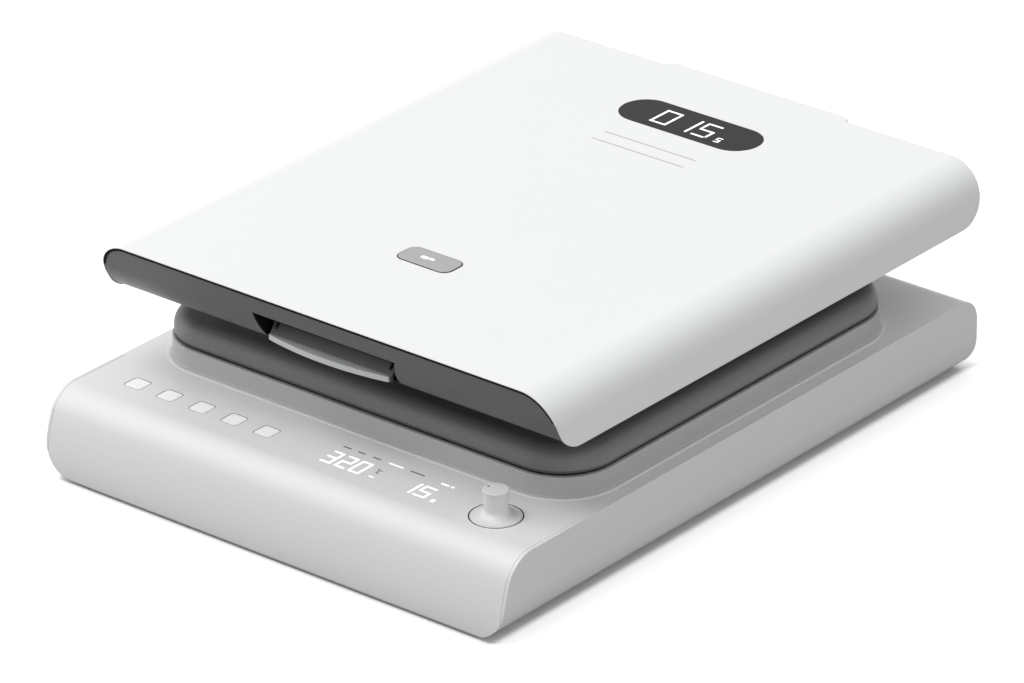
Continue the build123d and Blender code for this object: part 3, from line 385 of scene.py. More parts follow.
class Axis(Enum):
    """Directions, by their place in a point."""

    X = 0
    Y = 1
    Z = 2


class Blend(Enum):
    """Ways to combine closed forms."""

    UNION = "UNION"
    CUT = "DIFFERENCE"
    COMMON = "INTERSECT"


def beside(axis: Axis, pair: Sequence[float], depth: float) -> tuple:
    """Point with a pair of numbers across an axis and a depth along it."""
    point = list(pair)
    point.insert(axis.value, depth)
    return tuple(point)


class Form:
    """A closed mesh in millimetres, shaped by bmesh operators."""

    def __init__(self) -> None:
        """Start empty."""
        self.bm = bmesh.new()

    @classmethod
    def block(cls, x: Sequence[float], y: Sequence[float], z: Sequence[float]) -> "Form":
        """Box between two corners."""
        form = cls()
        bmesh.ops.create_cube(form.bm, size=1.0)
        size = (x[1] - x[0], y[1] - y[0], z[1] - z[0])
        middle = (sum(x) / 2, sum(y) / 2, sum(z) / 2)
        bmesh.ops.scale(form.bm, vec=size, verts=form.bm.verts)
        bmesh.ops.translate(form.bm, vec=middle, verts=form.bm.verts)
        return form

    @classmethod
    def prism(cls, outline: Sequence[tuple], axis: Axis, low: float, high: float) -> "Form":
        """Extrude a flat outline.

        Args:
            outline: Corner points in the plane across the axis.
            axis: Direction of the extrusion.
            low: Start of the extrusion.
            high: End of the extrusion.

        Returns:
            The prism.
        """
        form = cls()
        face = form.bm.faces.new([form.bm.verts.new(beside(axis, spot, low)) for spot in outline])
        moved = bmesh.ops.extrude_face_region(form.bm, geom=[face], use_keep_orig=True)["geom"]
        verts = [g for g in moved if isinstance(g, bmesh.types.BMVert)]
        bmesh.ops.translate(form.bm, vec=beside(axis, (0, 0), high - low), verts=verts)
        return form.outward()

    @classmethod
    def stack(cls, size: tuple, radius: float, levels: Sequence[tuple], centre: tuple = (0.0, 0.0),
              closed: bool = False, steps: int = 12) -> "Form":
        """Loft through round-cornered rectangles that share a centre.

        Args:
            size: Width and depth at zero growth.
            radius: Corner radius at zero growth.
            levels: Pairs of growth outwards and height.
            centre: Centre in plan.
            closed: Join the last ring to the first instead of capping both.
            steps: Facets in each corner.

        Returns:
            The loft.
        """
        form = cls()
        rings = []
        for i, (grow, z) in enumerate(levels):
            cap = not closed and i in (0, len(levels) - 1)
            grown = (size[0] + 2 * grow, size[1] + 2 * grow)
            rings.append(form.ring(grown, radius + grow, (*centre, z), steps, cap))
        pairs = list(zip(rings, rings[1:]))
        if closed:
            pairs.append((rings[-1], rings[0]))
        for first, second in pairs:
            bmesh.ops.bridge_loops(form.bm, edges=first + second)
        return form.outward()

    def ring(self, size: tuple, radius: float, centre: tuple, steps: int, cap: bool) -> list:
        """Add one level round-cornered rectangle.

        Args:
            size: Width and depth.
            radius: Corner radius.
            centre: Its middle in space.
            steps: Facets in each corner.
            cap: Keep its face.

        Returns:
            The edges round it.
        """
        made = bmesh.ops.create_grid(self.bm, x_segments=1, y_segments=1, size=0.5)["verts"]
        bmesh.ops.scale(self.bm, vec=(*size, 1), verts=made)
        bmesh.ops.translate(self.bm, vec=centre, verts=made)
        geom = self.bevel(made, radius, steps, affect="VERTICES")
        face = next(f for v in geom["verts"] for f in v.link_faces)
        edges = list(face.edges)
        if not cap:
            bmesh.ops.delete(self.bm, geom=[face], context="FACES_ONLY")
        return edges

    @classmethod
    def lathe(cls, profile: Sequence[tuple], centre: Sequence[float], steps: int = 64) -> "Form":
        """Spin a profile of radius and height pairs about the upright line through a point."""
        form = cls()
        verts = [form.bm.verts.new((r, 0, h)) for r, h in profile]
        edges = [form.bm.edges.new(pair) for pair in zip(verts, verts[1:])]
        if profile[0][0] > 1e-6 or profile[-1][0] > 1e-6:
            edges.append(form.bm.edges.new((verts[-1], verts[0])))
        bmesh.ops.spin(form.bm, geom=verts + edges, cent=(0, 0, 0), axis=(0, 0, 1), angle=math.tau,
                       steps=steps, use_merge=True)
        bmesh.ops.remove_doubles(form.bm, verts=form.bm.verts, dist=MERGE)
        bmesh.ops.translate(form.bm, vec=centre, verts=form.bm.verts)
        return form.outward()

    @classmethod
    def tube(cls, inner: float, outer: float, low: float, high: float, centre: tuple, steps: int) -> "Form":
        """Upright tube, or a disc where the inner radius is 0.

        Args:
            inner: Inner radius.
            outer: Outer radius.
            low: Underside.
            high: Top.
            centre: Point on its middle line.
            steps: Facets round it.

        Returns:
            The tube.
        """
        return cls.lathe(((inner, low), (outer, low), (outer, high), (inner, high)), centre, steps)

    @classmethod
    def joined(cls, forms: Sequence["Form"]) -> "Form":
        """All the given forms as one, each kept as it is."""
        for other in forms[1:]:
            forms[0].join(other)
        return forms[0]

    def outward(self) -> "Form":
        """Turn every face to point outwards."""
        bmesh.ops.recalc_face_normals(self.bm, faces=self.bm.faces)
        return self

    def bevel(self, geom: list, radius: float, steps: int, clamp: bool = False,
              affect: str = "EDGES") -> dict:
        """Round edges or corners.

        Args:
            geom: The edges or corners.
            radius: Radius.
            steps: Facets across the rounding.
            clamp: Stop where two roundings meet.
            affect: "EDGES" or "VERTICES".

        Returns:
            What the operator gives.
        """
        return bmesh.ops.bevel(self.bm, geom=geom, offset=radius, offset_type="OFFSET", segments=steps,
                               profile=0.5, affect=affect, clamp_overlap=clamp, material=-1)

    @staticmethod
    def middle(edge: bmesh.types.BMEdge) -> Vector:
        """Middle of an edge."""
        return (edge.verts[0].co + edge.verts[1].co) / 2

    def round_edges(self, radius: float, steps: int, where: Test) -> "Form":
        """Round the edges whose middle passes the test."""
        self.bevel([e for e in self.bm.edges if where(self.middle(e))], radius, steps)
        return self

    def round_sharp(self, radius: float, steps: int, where: Optional[Test] = None,
                    angle: float = 40.0) -> "Form":
        """Round the convex edges sharper than an angle whose middle passes the test."""
        limit = math.radians(angle)
        sharp = [e for e in self.bm.edges if len(e.link_faces) == 2 and e.calc_face_angle_signed(0) > limit]
        self.bevel([e for e in sharp if where is None or where(self.middle(e))], radius, steps, clamp=True)
        return self

    def carve(self, point: Sequence[float], normal: Sequence[float]) -> "Form":
        """Cut off what lies beyond a plane and close the cut."""
        geom = self.bm.verts[:] + self.bm.edges[:] + self.bm.faces[:]
        cut = bmesh.ops.bisect_plane(self.bm, geom=geom, dist=1e-5, plane_co=point, plane_no=normal,
                                     clear_outer=True)
        edges = [g for g in cut["geom_cut"] if isinstance(g, bmesh.types.BMEdge)]
        if edges:
            bmesh.ops.holes_fill(self.bm, edges=edges, sides=0)
        return self

    def round_sides(self, axis: Axis, centre: tuple, radius: float, turn: float, steps: int) -> "Form":
        """Round a long ridge on each side with tangent planes.

        Args:
            axis: Direction of the ridges.
            centre: Centre of the right rounding across the axis; the left one mirrors it.
            radius: Radius.
            turn: Turn of the right arc from straight outwards, in degrees.
            steps: Number of planes.

        Returns:
            This form.
        """
        for side in (-1, 1):
            start, end = (0, turn) if side > 0 else (180, 180 - turn)
            for i in range(steps):
                angle = math.radians(start + (end - start) * (i + 0.5) / steps)
                c, s = math.cos(angle), math.sin(angle)
                spot = (side * centre[0] + radius * c, centre[1] + radius * s)
                self.carve(beside(axis, spot, 0), beside(axis, (c, s), 0))
        return self

    def copies(self, places: Iterable[tuple]) -> "Form":
        """Repeat the form at each offset."""
        whole = Form()
        for place in places:
            mesh = bpy.data.meshes.new("copy")
            self.bm.to_mesh(mesh)
            mesh.transform(Matrix.Translation(Vector(place)))
            whole.bm.from_mesh(mesh)
            bpy.data.meshes.remove(mesh)
        return whole

    def join(self, other: "Form") -> "Form":
        """Take in another form as it is."""
        mesh = bpy.data.meshes.new("join")
        other.bm.to_mesh(mesh)
        self.bm.from_mesh(mesh)
        bpy.data.meshes.remove(mesh)
        return self

    def mirrored(self) -> "Form":
        """Add the mirror image across X = 0."""
        twin = self.copies([(0, 0, 0)])
        bmesh.ops.scale(twin.bm, vec=(-1, 1, 1), verts=twin.bm.verts)
        bmesh.ops.reverse_faces(twin.bm, faces=twin.bm.faces)
        return self.join(twin)

    def carrier(self, name: str) -> bpy.types.Object:
        """Plain object that holds the mesh."""
        mesh = bpy.data.meshes.new(name)
        self.bm.to_mesh(mesh)
        self.bm.free()
        made = bpy.data.objects.new(name, mesh)
        bpy.context.scene.collection.objects.link(made)
        return made

    def combine(self, blend: Blend, *others: "Form") -> "Form":
        """Boolean with other forms.

        Args:
            blend: How they are combined.
            *others: The other forms, which are used up.

        Returns:
            This form.
        """
        base = self.carrier("base")
        tools = [other.carrier("tool") for other in others]
        for tool in tools:
            step = base.modifiers.new("step", "BOOLEAN")
            step.operation = blend.value
            step.solver = "EXACT"
            step.object = tool
        shown = base.evaluated_get(bpy.context.evaluated_depsgraph_get())
        mesh = bpy.data.meshes.new_from_object(shown)
        self.bm = bmesh.new()
        self.bm.from_mesh(mesh)
        for spare in (base, *tools):
            old = spare.data
            bpy.data.objects.remove(spare)
            bpy.data.meshes.remove(old)
        bpy.data.meshes.remove(mesh)
        bmesh.ops.dissolve_degenerate(self.bm, dist=MERGE, edges=self.bm.edges)
        return self

    def cut(self, *others: "Form") -> "Form":
        """Take the other forms away."""
        return self.combine(Blend.CUT, *others)

    def piece(self, name: str, body: str, finish: Finish, nodes: Sequence[str] = (),
              smooth: float = 35.0) -> bpy.types.Object:
        """Finish the form as a piece of the press.

        Args:
            name: Name of the piece.
            body: CAD body it rides on.
            finish: Surface finish.
            nodes: CAD nodes it stands for.
            smooth: Largest angle that is shaded smooth, in degrees.

        Returns:
            The object.
        """
        bmesh.ops.scale(self.bm, vec=(MM, MM, MM), verts=self.bm.verts)
        for face in self.bm.faces:
            face.smooth = True
        made = self.carrier(name)
        made.data.set_sharp_from_angle(angle=math.radians(smooth))
        weighted = made.modifiers.new("flat_faces", "WEIGHTED_NORMAL")
        weighted.keep_sharp = True
        made.data.materials.append(finish.material())
        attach(made, body)
        if nodes:
            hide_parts(*nodes)
        log.info("%s: %d faces", name, len(made.data.polygons))
        return made


def along_x(*spots: Sequence[float]) -> Test:
    """Test for the long edges along X at spots of the side view."""

    def passes(point: Vector) -> bool:
        """Whether a point is halfway along one of these edges."""
        return abs(point.x) < 1 and any(abs(point.y - y) < 0.1 and abs(point.z - z) < 0.1 for y, z in spots)

    return passes


def bow(half: float, rise: float) -> float:
    """Radius of an arc from half its chord and its rise."""
    return (half ** 2 + rise ** 2) / (2 * rise)


# Digits

class Seat(Enum):
    """Bars of a seven-bar digit, from corner to corner in shares of its width and height."""

    TOP = ((0, 1), (1, 1))
    RIGHT_HIGH = ((1, 0.5), (1, 1))
    RIGHT_LOW = ((1, 0), (1, 0.5))
    FOOT = ((0, 0), (1, 0))
    LEFT_LOW = ((0, 0), (0, 0.5))
    LEFT_HIGH = ((0, 0.5), (0, 1))
    MIDDLE = ((0, 0.5), (1, 0.5))


BARS = {
    "0": (Seat.TOP, Seat.RIGHT_HIGH, Seat.RIGHT_LOW, Seat.FOOT, Seat.LEFT_LOW, Seat.LEFT_HIGH),
    "1": (Seat.RIGHT_HIGH, Seat.RIGHT_LOW),
    "2": (Seat.TOP, Seat.RIGHT_HIGH, Seat.MIDDLE, Seat.LEFT_LOW, Seat.FOOT),
    "3": (Seat.TOP, Seat.RIGHT_HIGH, Seat.MIDDLE, Seat.RIGHT_LOW, Seat.FOOT),
    "5": (Seat.TOP, Seat.LEFT_HIGH, Seat.MIDDLE, Seat.RIGHT_LOW, Seat.FOOT),
    "C": (Seat.TOP, Seat.LEFT_LOW, Seat.LEFT_HIGH, Seat.FOOT),
}


def bar(start: tuple, end: tuple, stroke: float, low: float, high: float) -> Form:
    """Flat bar with round ends.

    Args:
        start: One end of its middle line, at the smaller X and Y.
        end: The other end.
        stroke: Width of the bar.
        low: Underside.
        high: Top.

    Returns:
        The bar.
    """
    size = (end[0] - start[0] + stroke, end[1] - start[1] + stroke)
    centre = ((start[0] + end[0]) / 2, (start[1] + end[1]) / 2)
    return Form.stack(size, stroke * 0.49, ((0, low), (0, high)), centre, steps=5)


def digit(sign: str, corner: tuple, size: tuple, stroke: float, low: float, high: float) -> Form:
    """One digit made of round-ended bars.

    Args:
        sign: The digit.
        corner: Middle line's lowest X and Y.
        size: Width and height between middle lines.
        stroke: Width of the bars.
        low: Underside.
        high: Top.

    Returns:
        The digit.
    """

    def place(spot: tuple) -> tuple:
        """Point of the digit from its shares of width and height."""
        return tuple(c + share * s for c, share, s in zip(corner, spot, size))

    bars = []
    for seat in BARS[sign]:
        start, end = seat.value
        bars.append(bar(place(start), place(end), stroke, low, high))
    return bars[0].combine(Blend.UNION, *bars[1:]) if len(bars) > 1 else bars[0]


# Base

@dataclass
class Base:
    """Lower housing with its feet and floor screws."""

    half_width: float = 220.0
    front: float = -292.5
    rear: float = 278.5
    deck: float = 66.5
    floor: float = 1.2
    wall: float = 3.0
    nose_radius: float = 26.0
    nose_turn: float = 66.2
    front_radius: float = 106.0
    rear_radius: float = 20.5
    low_radius: float = 30.0
    toe: float = 3.2
    edge: float = 1.8
    key_x: Sequence[float] = tuple(-176.8 + 31.8 * i for i in range(5))
    key_y: float = -235.0
    key_size: float = 15.6
    key_radius: float = 2.8
    key_depth: float = 1.2
    knob: tuple = (167.0, -234.3)
    seat_radius: float = 20.3
    seat_depth: float = 1.5
    shaft_hole: float = 5.0
    opening: float = 366.0
    opening_radius: float = 30.0
    bed_y: float = 5.7
    line: tuple = (217.0, 217.6)
    line_depth: float = 0.4
    inlet: tuple = ((-174, -146), (22, 42))
    switch: tuple = ((-130, -110), (25, 39))
    foot_x: float = 165.0
    foot_rows: tuple = (-250.5, 236.5)
    screw_x: float = 184.0
    screw_rows: tuple = (42.0, 190.0)
    hinge: tuple = (258.0, 108.0)
    spring_span: tuple = (3.0, 29.0)
    spring_radius: float = 8.3
    spring_turns: int = 6
    wire: float = 1.45

    def nose(self, inset: float) -> tuple:
        """Corner points and tangent lengths of the swept nose.

        Args:
            inset: Distance inwards from the outer surface.

        Returns:
            Upper corner, lower corner, upper tangent length, lower tangent length.
        """
        turn = math.radians(self.nose_turn)
        c, s = math.cos(turn), math.sin(turn)
        start = self.front + self.nose_radius * s + self.front_radius * (1 - s)
        meet_y = start - self.nose_radius * s + inset * s
        meet_z = self.deck - self.nose_radius * (1 - c) - inset * c
        upper = (self.nose_radius - inset) * math.tan(turn / 2)
        lower = (self.front_radius - inset) * math.tan(math.radians(90 - self.nose_turn) / 2)
        high_corner = (meet_y + upper * c, meet_z + upper * s)
        low_corner = (meet_y - lower * c, meet_z - lower * s)
        return high_corner, low_corner, upper, lower

    def hull(self, inset: float) -> Form:
        """Outer or inner form of the housing, drawn in by the inset."""
        half = self.half_width - inset
        top, low = self.deck - inset, self.floor + inset
        front, rear = self.front + inset, self.rear - inset
        first, second, upper, lower = self.nose(inset)
        form = Form.prism([(rear, low), (rear, top), first, second, (front, low)], Axis.X, -half, half)
        form.round_edges(self.rear_radius - inset, 14, along_x((rear, top)))
        form.round_edges(upper, 16, along_x(first))
        form.round_edges(lower, 14, along_x(second))
        form.round_edges(max(self.toe - inset, 0.3), 5, along_x((rear, low), (front, low)))
        centre = (self.half_width - self.low_radius, self.floor + self.low_radius)
        return form.round_sides(Axis.Y, centre, self.low_radius - inset, -90, 16)

    def shell(self) -> None:
        """Housing with the bed opening, the control seats and the mains cut-outs."""
        form = self.hull(0).round_sharp(self.edge, 4)
        inside, above = 50, 80
        pan_half = self.half_width - self.low_radius
        pan = Form.block((-pan_half, pan_half), (self.front + 8, self.rear - 8), (-1, 6))
        cuts = [self.hull(self.wall), pan]
        bed = (self.opening, self.opening)
        cuts.append(Form.stack(bed, self.opening_radius, ((0, inside), (0, above)), (0, self.bed_y)))
        key = (self.key_size, self.key_size)
        levels = ((0, self.deck - self.key_depth), (0, above))
        for x in self.key_x:
            cuts.append(Form.stack(key, self.key_radius, levels, (x, self.key_y), steps=6))
        seat_low = self.deck - self.seat_depth
        cuts.append(Form.tube(0, self.seat_radius, seat_low, above, (*self.knob, 0), 128))
        cuts.append(Form.tube(0, self.shaft_hole, inside, above, (*self.knob, 0), 64))
        line = self.hull(-1).cut(self.hull(self.line_depth))
        slabs = Form.block(self.line, (-300, -205), (4, 70)).mirrored()
        cuts.append(line.combine(Blend.COMMON, slabs))
        for across, upright in (self.inlet, self.switch):
            cuts.append(Form.block(across, (240, 300), upright))
        form.cut(*cuts).piece("base_housing", "base", GREY, ("base_cover",))

    def feet(self) -> None:
        """Four low feet with a rounded rim."""
        profile = ((0, 1.2), (13, 1.2), (12.4, 0.5), (11.6, 0.1), (10.8, 0.0), (0, 0.0))
        spots = [(x, y, 0) for x in (-self.foot_x, self.foot_x) for y in self.foot_rows]
        Form.lathe(profile, (0, 0, 0), 48).copies(spots).piece("feet", "base", RUBBER, ("rubber_feet",))

    def springs(self) -> None:
        """Two coiled springs on the hinge pin."""
        low, high = self.spring_span[0] + self.wire, self.spring_span[1] - self.wire
        form = Form()
        ring = bmesh.ops.create_circle(form.bm, segments=10, radius=self.wire)["verts"]
        across = Matrix.Rotation(math.pi / 2, 3, "X")
        bmesh.ops.rotate(form.bm, cent=(0, 0, 0), matrix=across, verts=ring)
        start = (low, self.hinge[0], self.hinge[1] + self.spring_radius)
        bmesh.ops.translate(form.bm, vec=start, verts=ring)
        steps = self.spring_turns * 28
        geom = form.bm.verts[:] + form.bm.edges[:]
        bmesh.ops.spin(form.bm, geom=geom, cent=(low, *self.hinge), axis=(1, 0, 0),
                       dvec=((high - low) / steps, 0, 0), angle=math.tau * self.spring_turns, steps=steps,
                       use_merge=False)
        bmesh.ops.holes_fill(form.bm, edges=[e for e in form.bm.edges if e.is_boundary], sides=0)
        form.outward().mirrored().piece("hinge_coils", "base", ZINC, ("hinge_springs",), smooth=60.0)

    def build(self) -> None:
        """Build the housing, feet, screws and springs."""
        self.shell()
        self.feet()
        self.springs()
        near, far = self.screw_rows
        rows = (self.front + near, self.front + far, self.rear - far, self.rear - near)
        spots = [(x, y, 2.3) for x in (-self.screw_x, self.screw_x) for y in rows]
        cross_screw(3.0, 1.6, 1.5, 12.0).copies(spots).piece("floor_screws", "base", ZINC, ("pan_screws",))


def cross_screw(head: float, height: float, shank: float, length: float) -> Form:
    """Round-headed screw with a cross slot, its head downwards and its seat at the origin."""
    profile = ((0, length), (shank * 0.6, length), (shank, length - 1), (shank, 0), (head, 0),
               (head, -height * 0.5), (head * 0.86, -height * 0.85), (head * 0.6, -height), (0, -height))
    wide, thin = head * 0.55, head * 0.13
    across = Form.block((-wide, wide), (-thin, thin), (-height - 1, -height * 0.35))
    along = Form.block((-thin, thin), (-wide, wide), (-height - 1, -height * 0.35))
    return Form.lathe(profile, (0, 0, 0), 32).cut(across, along)


@dataclass
class PressBed:
    """Raised ring and silicone pad on the deck."""

    size: tuple = (408.0, 399.5)
    radius: float = 46.0
    centre: tuple = (0.0, 5.7)
    deck: float = 66.5
    top: float = 83.2
    flange: float = 4.0
    flange_height: float = 0.6
    foot: float = 1.6
    edge: float = 1.2
    platen: float = 381.0
    platen_radius: float = 32.0

    def arc(self, radius: float, centre: tuple, start: float, end: float, steps: int) -> list:
        """Growth and height pairs along an arc of the ring's section."""
        turns = [math.radians(start + (end - start) * i / steps) for i in range(steps + 1)]
        return [(centre[0] + radius * math.cos(t), centre[1] + radius * math.sin(t)) for t in turns]

    def build(self) -> None:
        """Build the ring and the pad."""
        joint = self.deck + self.flange_height
        low = self.deck - 0.4
        flange = [(-2, low), (self.flange, low), (self.flange, joint - 0.25), (self.flange - 0.25, joint)]
        flange.append((-2, joint))
        plate = Form.stack(self.size, self.radius, flange, self.centre, closed=True, steps=24)
        plate.piece("ring_flange", "base", GREY)
        levels = [(self.foot, joint - 0.2)]
        levels += self.arc(self.foot, (self.foot, joint + self.foot), 270, 180, 8)
        levels += self.arc(self.edge, (-self.edge, self.top - self.edge), 0, 90, 5)
        inner = (self.platen - self.size[0]) / 2 + 1
        levels += [(inner + 0.4, self.top), (inner, self.top - 0.4), (inner, self.top - 3)]
        levels += [(-3, self.top - 3), (-3, self.deck)]
        ring = Form.stack(self.size, self.radius, levels, self.centre, closed=True, steps=24)
        # The ring wall takes the darker grey: painted shade for the shade under the lid.
        ring.piece("bed_ring", "base", SHADED_GREY, ("bed_rim",))
        pad = [(0, 78.0), (0, 83.2), (-0.25, 83.75), (-0.8, 84.0)]
        size = (self.platen, self.platen)
        Form.stack(size, self.platen_radius, pad, self.centre).piece("pad", "base", SILICONE, ("bed_pad",))


@dataclass
class ControlPanel:
    """Touch keys, lit readings and the knob."""

    deck: float = 66.5
    sunk: float = 0.3
    lift: float = 0.06
    stroke: float = 2.0
    figures: tuple = (("3", (11.0, -245.2), (8.0, 17.2)), ("2", (24.6, -245.2), (8.0, 17.2)),
                      ("0", (37.6, -245.2), (8.4, 17.2)), ("1", (86.2, -245.0), (8.0, 15.6)),
                      ("5", (98.8, -245.0), (9.2, 15.2)), ("5", (115.4, -246.4), (2.4, 3.6), 0.9))
    lit_dashes: tuple = ((55.6, 59.0, -243.2, 1.4), (54.2, 66.2, -218.2, 1.7),
                         (104.8, 110.4, -219.6, 2.0), (114.0, 114.8, -219.4, 2.4))
    grey_dashes: tuple = ((10.5, 17.0), (24.5, 30.4), (39.0, 45.2), (74.5, 86.5))
    grey_row: float = -218.2
    grey_stroke: float = 1.3
    key_gap: float = 0.35
    skirt: float = 18.5
    waist: float = 9.0
    waist_rise: float = 5.7
    top_radius: float = 9.9
    top: float = 88.2
    ring_radii: tuple = (18.65, 19.3)
    dot: tuple = (-6.7, 0.0)
    base: Base = field(default_factory=Base)

    def build(self) -> None:
        """Build keys, readings and knob."""
        size = self.base.key_size - 2 * self.key_gap
        spots = [(x, self.base.key_y, 0) for x in self.base.key_x]
        levels = [(0, self.deck - self.base.key_depth), (0, self.deck - 0.2), (-0.2, self.deck)]
        key = Form.stack((size, size), self.base.key_radius - self.key_gap, levels, steps=6)
        key.copies(spots).piece("keys", "base", KEY, ("touch_keys",))
        frame_size = (self.base.key_size, self.base.key_size)
        low, high = self.deck - 0.9, self.deck + 0.03
        line = [(-0.1, low), (0.45, low), (0.45, high), (-0.1, high)]
        outline = Form.stack(frame_size, self.base.key_radius, line, closed=True, steps=6)
        outline.copies(spots).piece("key_outlines", "base", OUTLINE)
        self.readings()
        self.knob()

    def sign(self, name: str, corner: tuple, size: tuple, stroke: Optional[float] = None) -> Form:
        """One digit of the deck."""
        return digit(name, corner, size, stroke or self.stroke, self.deck - self.sunk, self.deck + self.lift)

    def dash(self, start: float, end: float, row: float, stroke: float) -> Form:
        """Plain dash on the deck, along X."""
        return bar((start, row), (end, row), stroke, self.deck - self.sunk, self.deck + self.lift)

    def readings(self) -> None:
        """Three-figure and two-figure readings with their small marks."""
        lit = [self.sign(*figure) for figure in self.figures]
        lit += [self.dash(*spot) for spot in self.lit_dashes]
        Form.joined(lit).piece("deck_readings", "base", LIT)
        marks = [self.dash(start, end, self.grey_row, self.grey_stroke) for start, end in self.grey_dashes]
        marks.append(self.sign("C", (56.0, -236.2), (2.2, 4.8), 0.8))
        degree = (54.0, -230.6, 0)
        marks.append(Form.tube(0.45, 0.9, self.deck - self.sunk, self.deck + self.lift, degree, 20))
        Form.joined(marks).piece("deck_marks", "base", MARK)

    def knob(self) -> None:
        """Skirted knob, its flush ring and the pointer dot."""
        x, y = self.base.knob
        top, skirt, rim = self.top, self.skirt, self.top_radius
        low = self.deck - 1.1
        brim = low + 1.8
        profile = [(0, top - 5), (3.1, top - 5), (3.1, low), (skirt - 0.3, low), (skirt, low + 0.3)]
        profile += [(skirt, brim - 0.4), (skirt - 0.3, brim)]
        span = skirt - self.waist
        for i in range(1, 15):
            turn = math.radians(90 * i / 14)
            profile.append((skirt - span * math.sin(turn), brim + self.waist_rise * (1 - math.cos(turn))))
        profile += [(self.waist + 0.3, top - 1.6), (rim - 0.1, top - 1.3), (rim, top - 1.0)]
        profile += [(rim - 0.1, top - 0.5), (rim - 0.4, top - 0.15), (rim - 0.9, top), (0, top)]
        spot = (x + self.dot[0], y + self.dot[1], 0)
        cut = Form.tube(0, 1.1, top - 0.6, 91, spot, 24)
        Form.lathe(profile, (x, y, 0), 128).cut(cut).piece("turning_knob", "knob", KNOB, ("knob",))
        dot = ((0, top - 0.7), (1.05, top - 0.7), (1.05, top - 0.25), (0, top - 0.2))
        Form.lathe(dot, spot, 24).piece("knob_dot", "knob", MARK)
        inner, outer = self.ring_radii
        low = self.deck - self.base.seat_depth
        # Painted shadow: a black tube that fills the gap between the flush ring and its seat.
        gap = Form.tube(outer, self.base.seat_radius, low, self.deck - 0.02, (x, y, 0), 128)
        gap.piece("knob_gap_shadow", "base", PAINTED_SHADOW)
        ring = [(inner, low), (outer, low), (outer, self.deck), (outer - 0.2, self.deck + 0.2)]
        ring += [(inner + 0.2, self.deck + 0.2), (inner, self.deck)]
        Form.lathe(ring, (x, y, 0), 128).piece("knob_ring", "base", RING, ("knob_bezel",))


# Lid

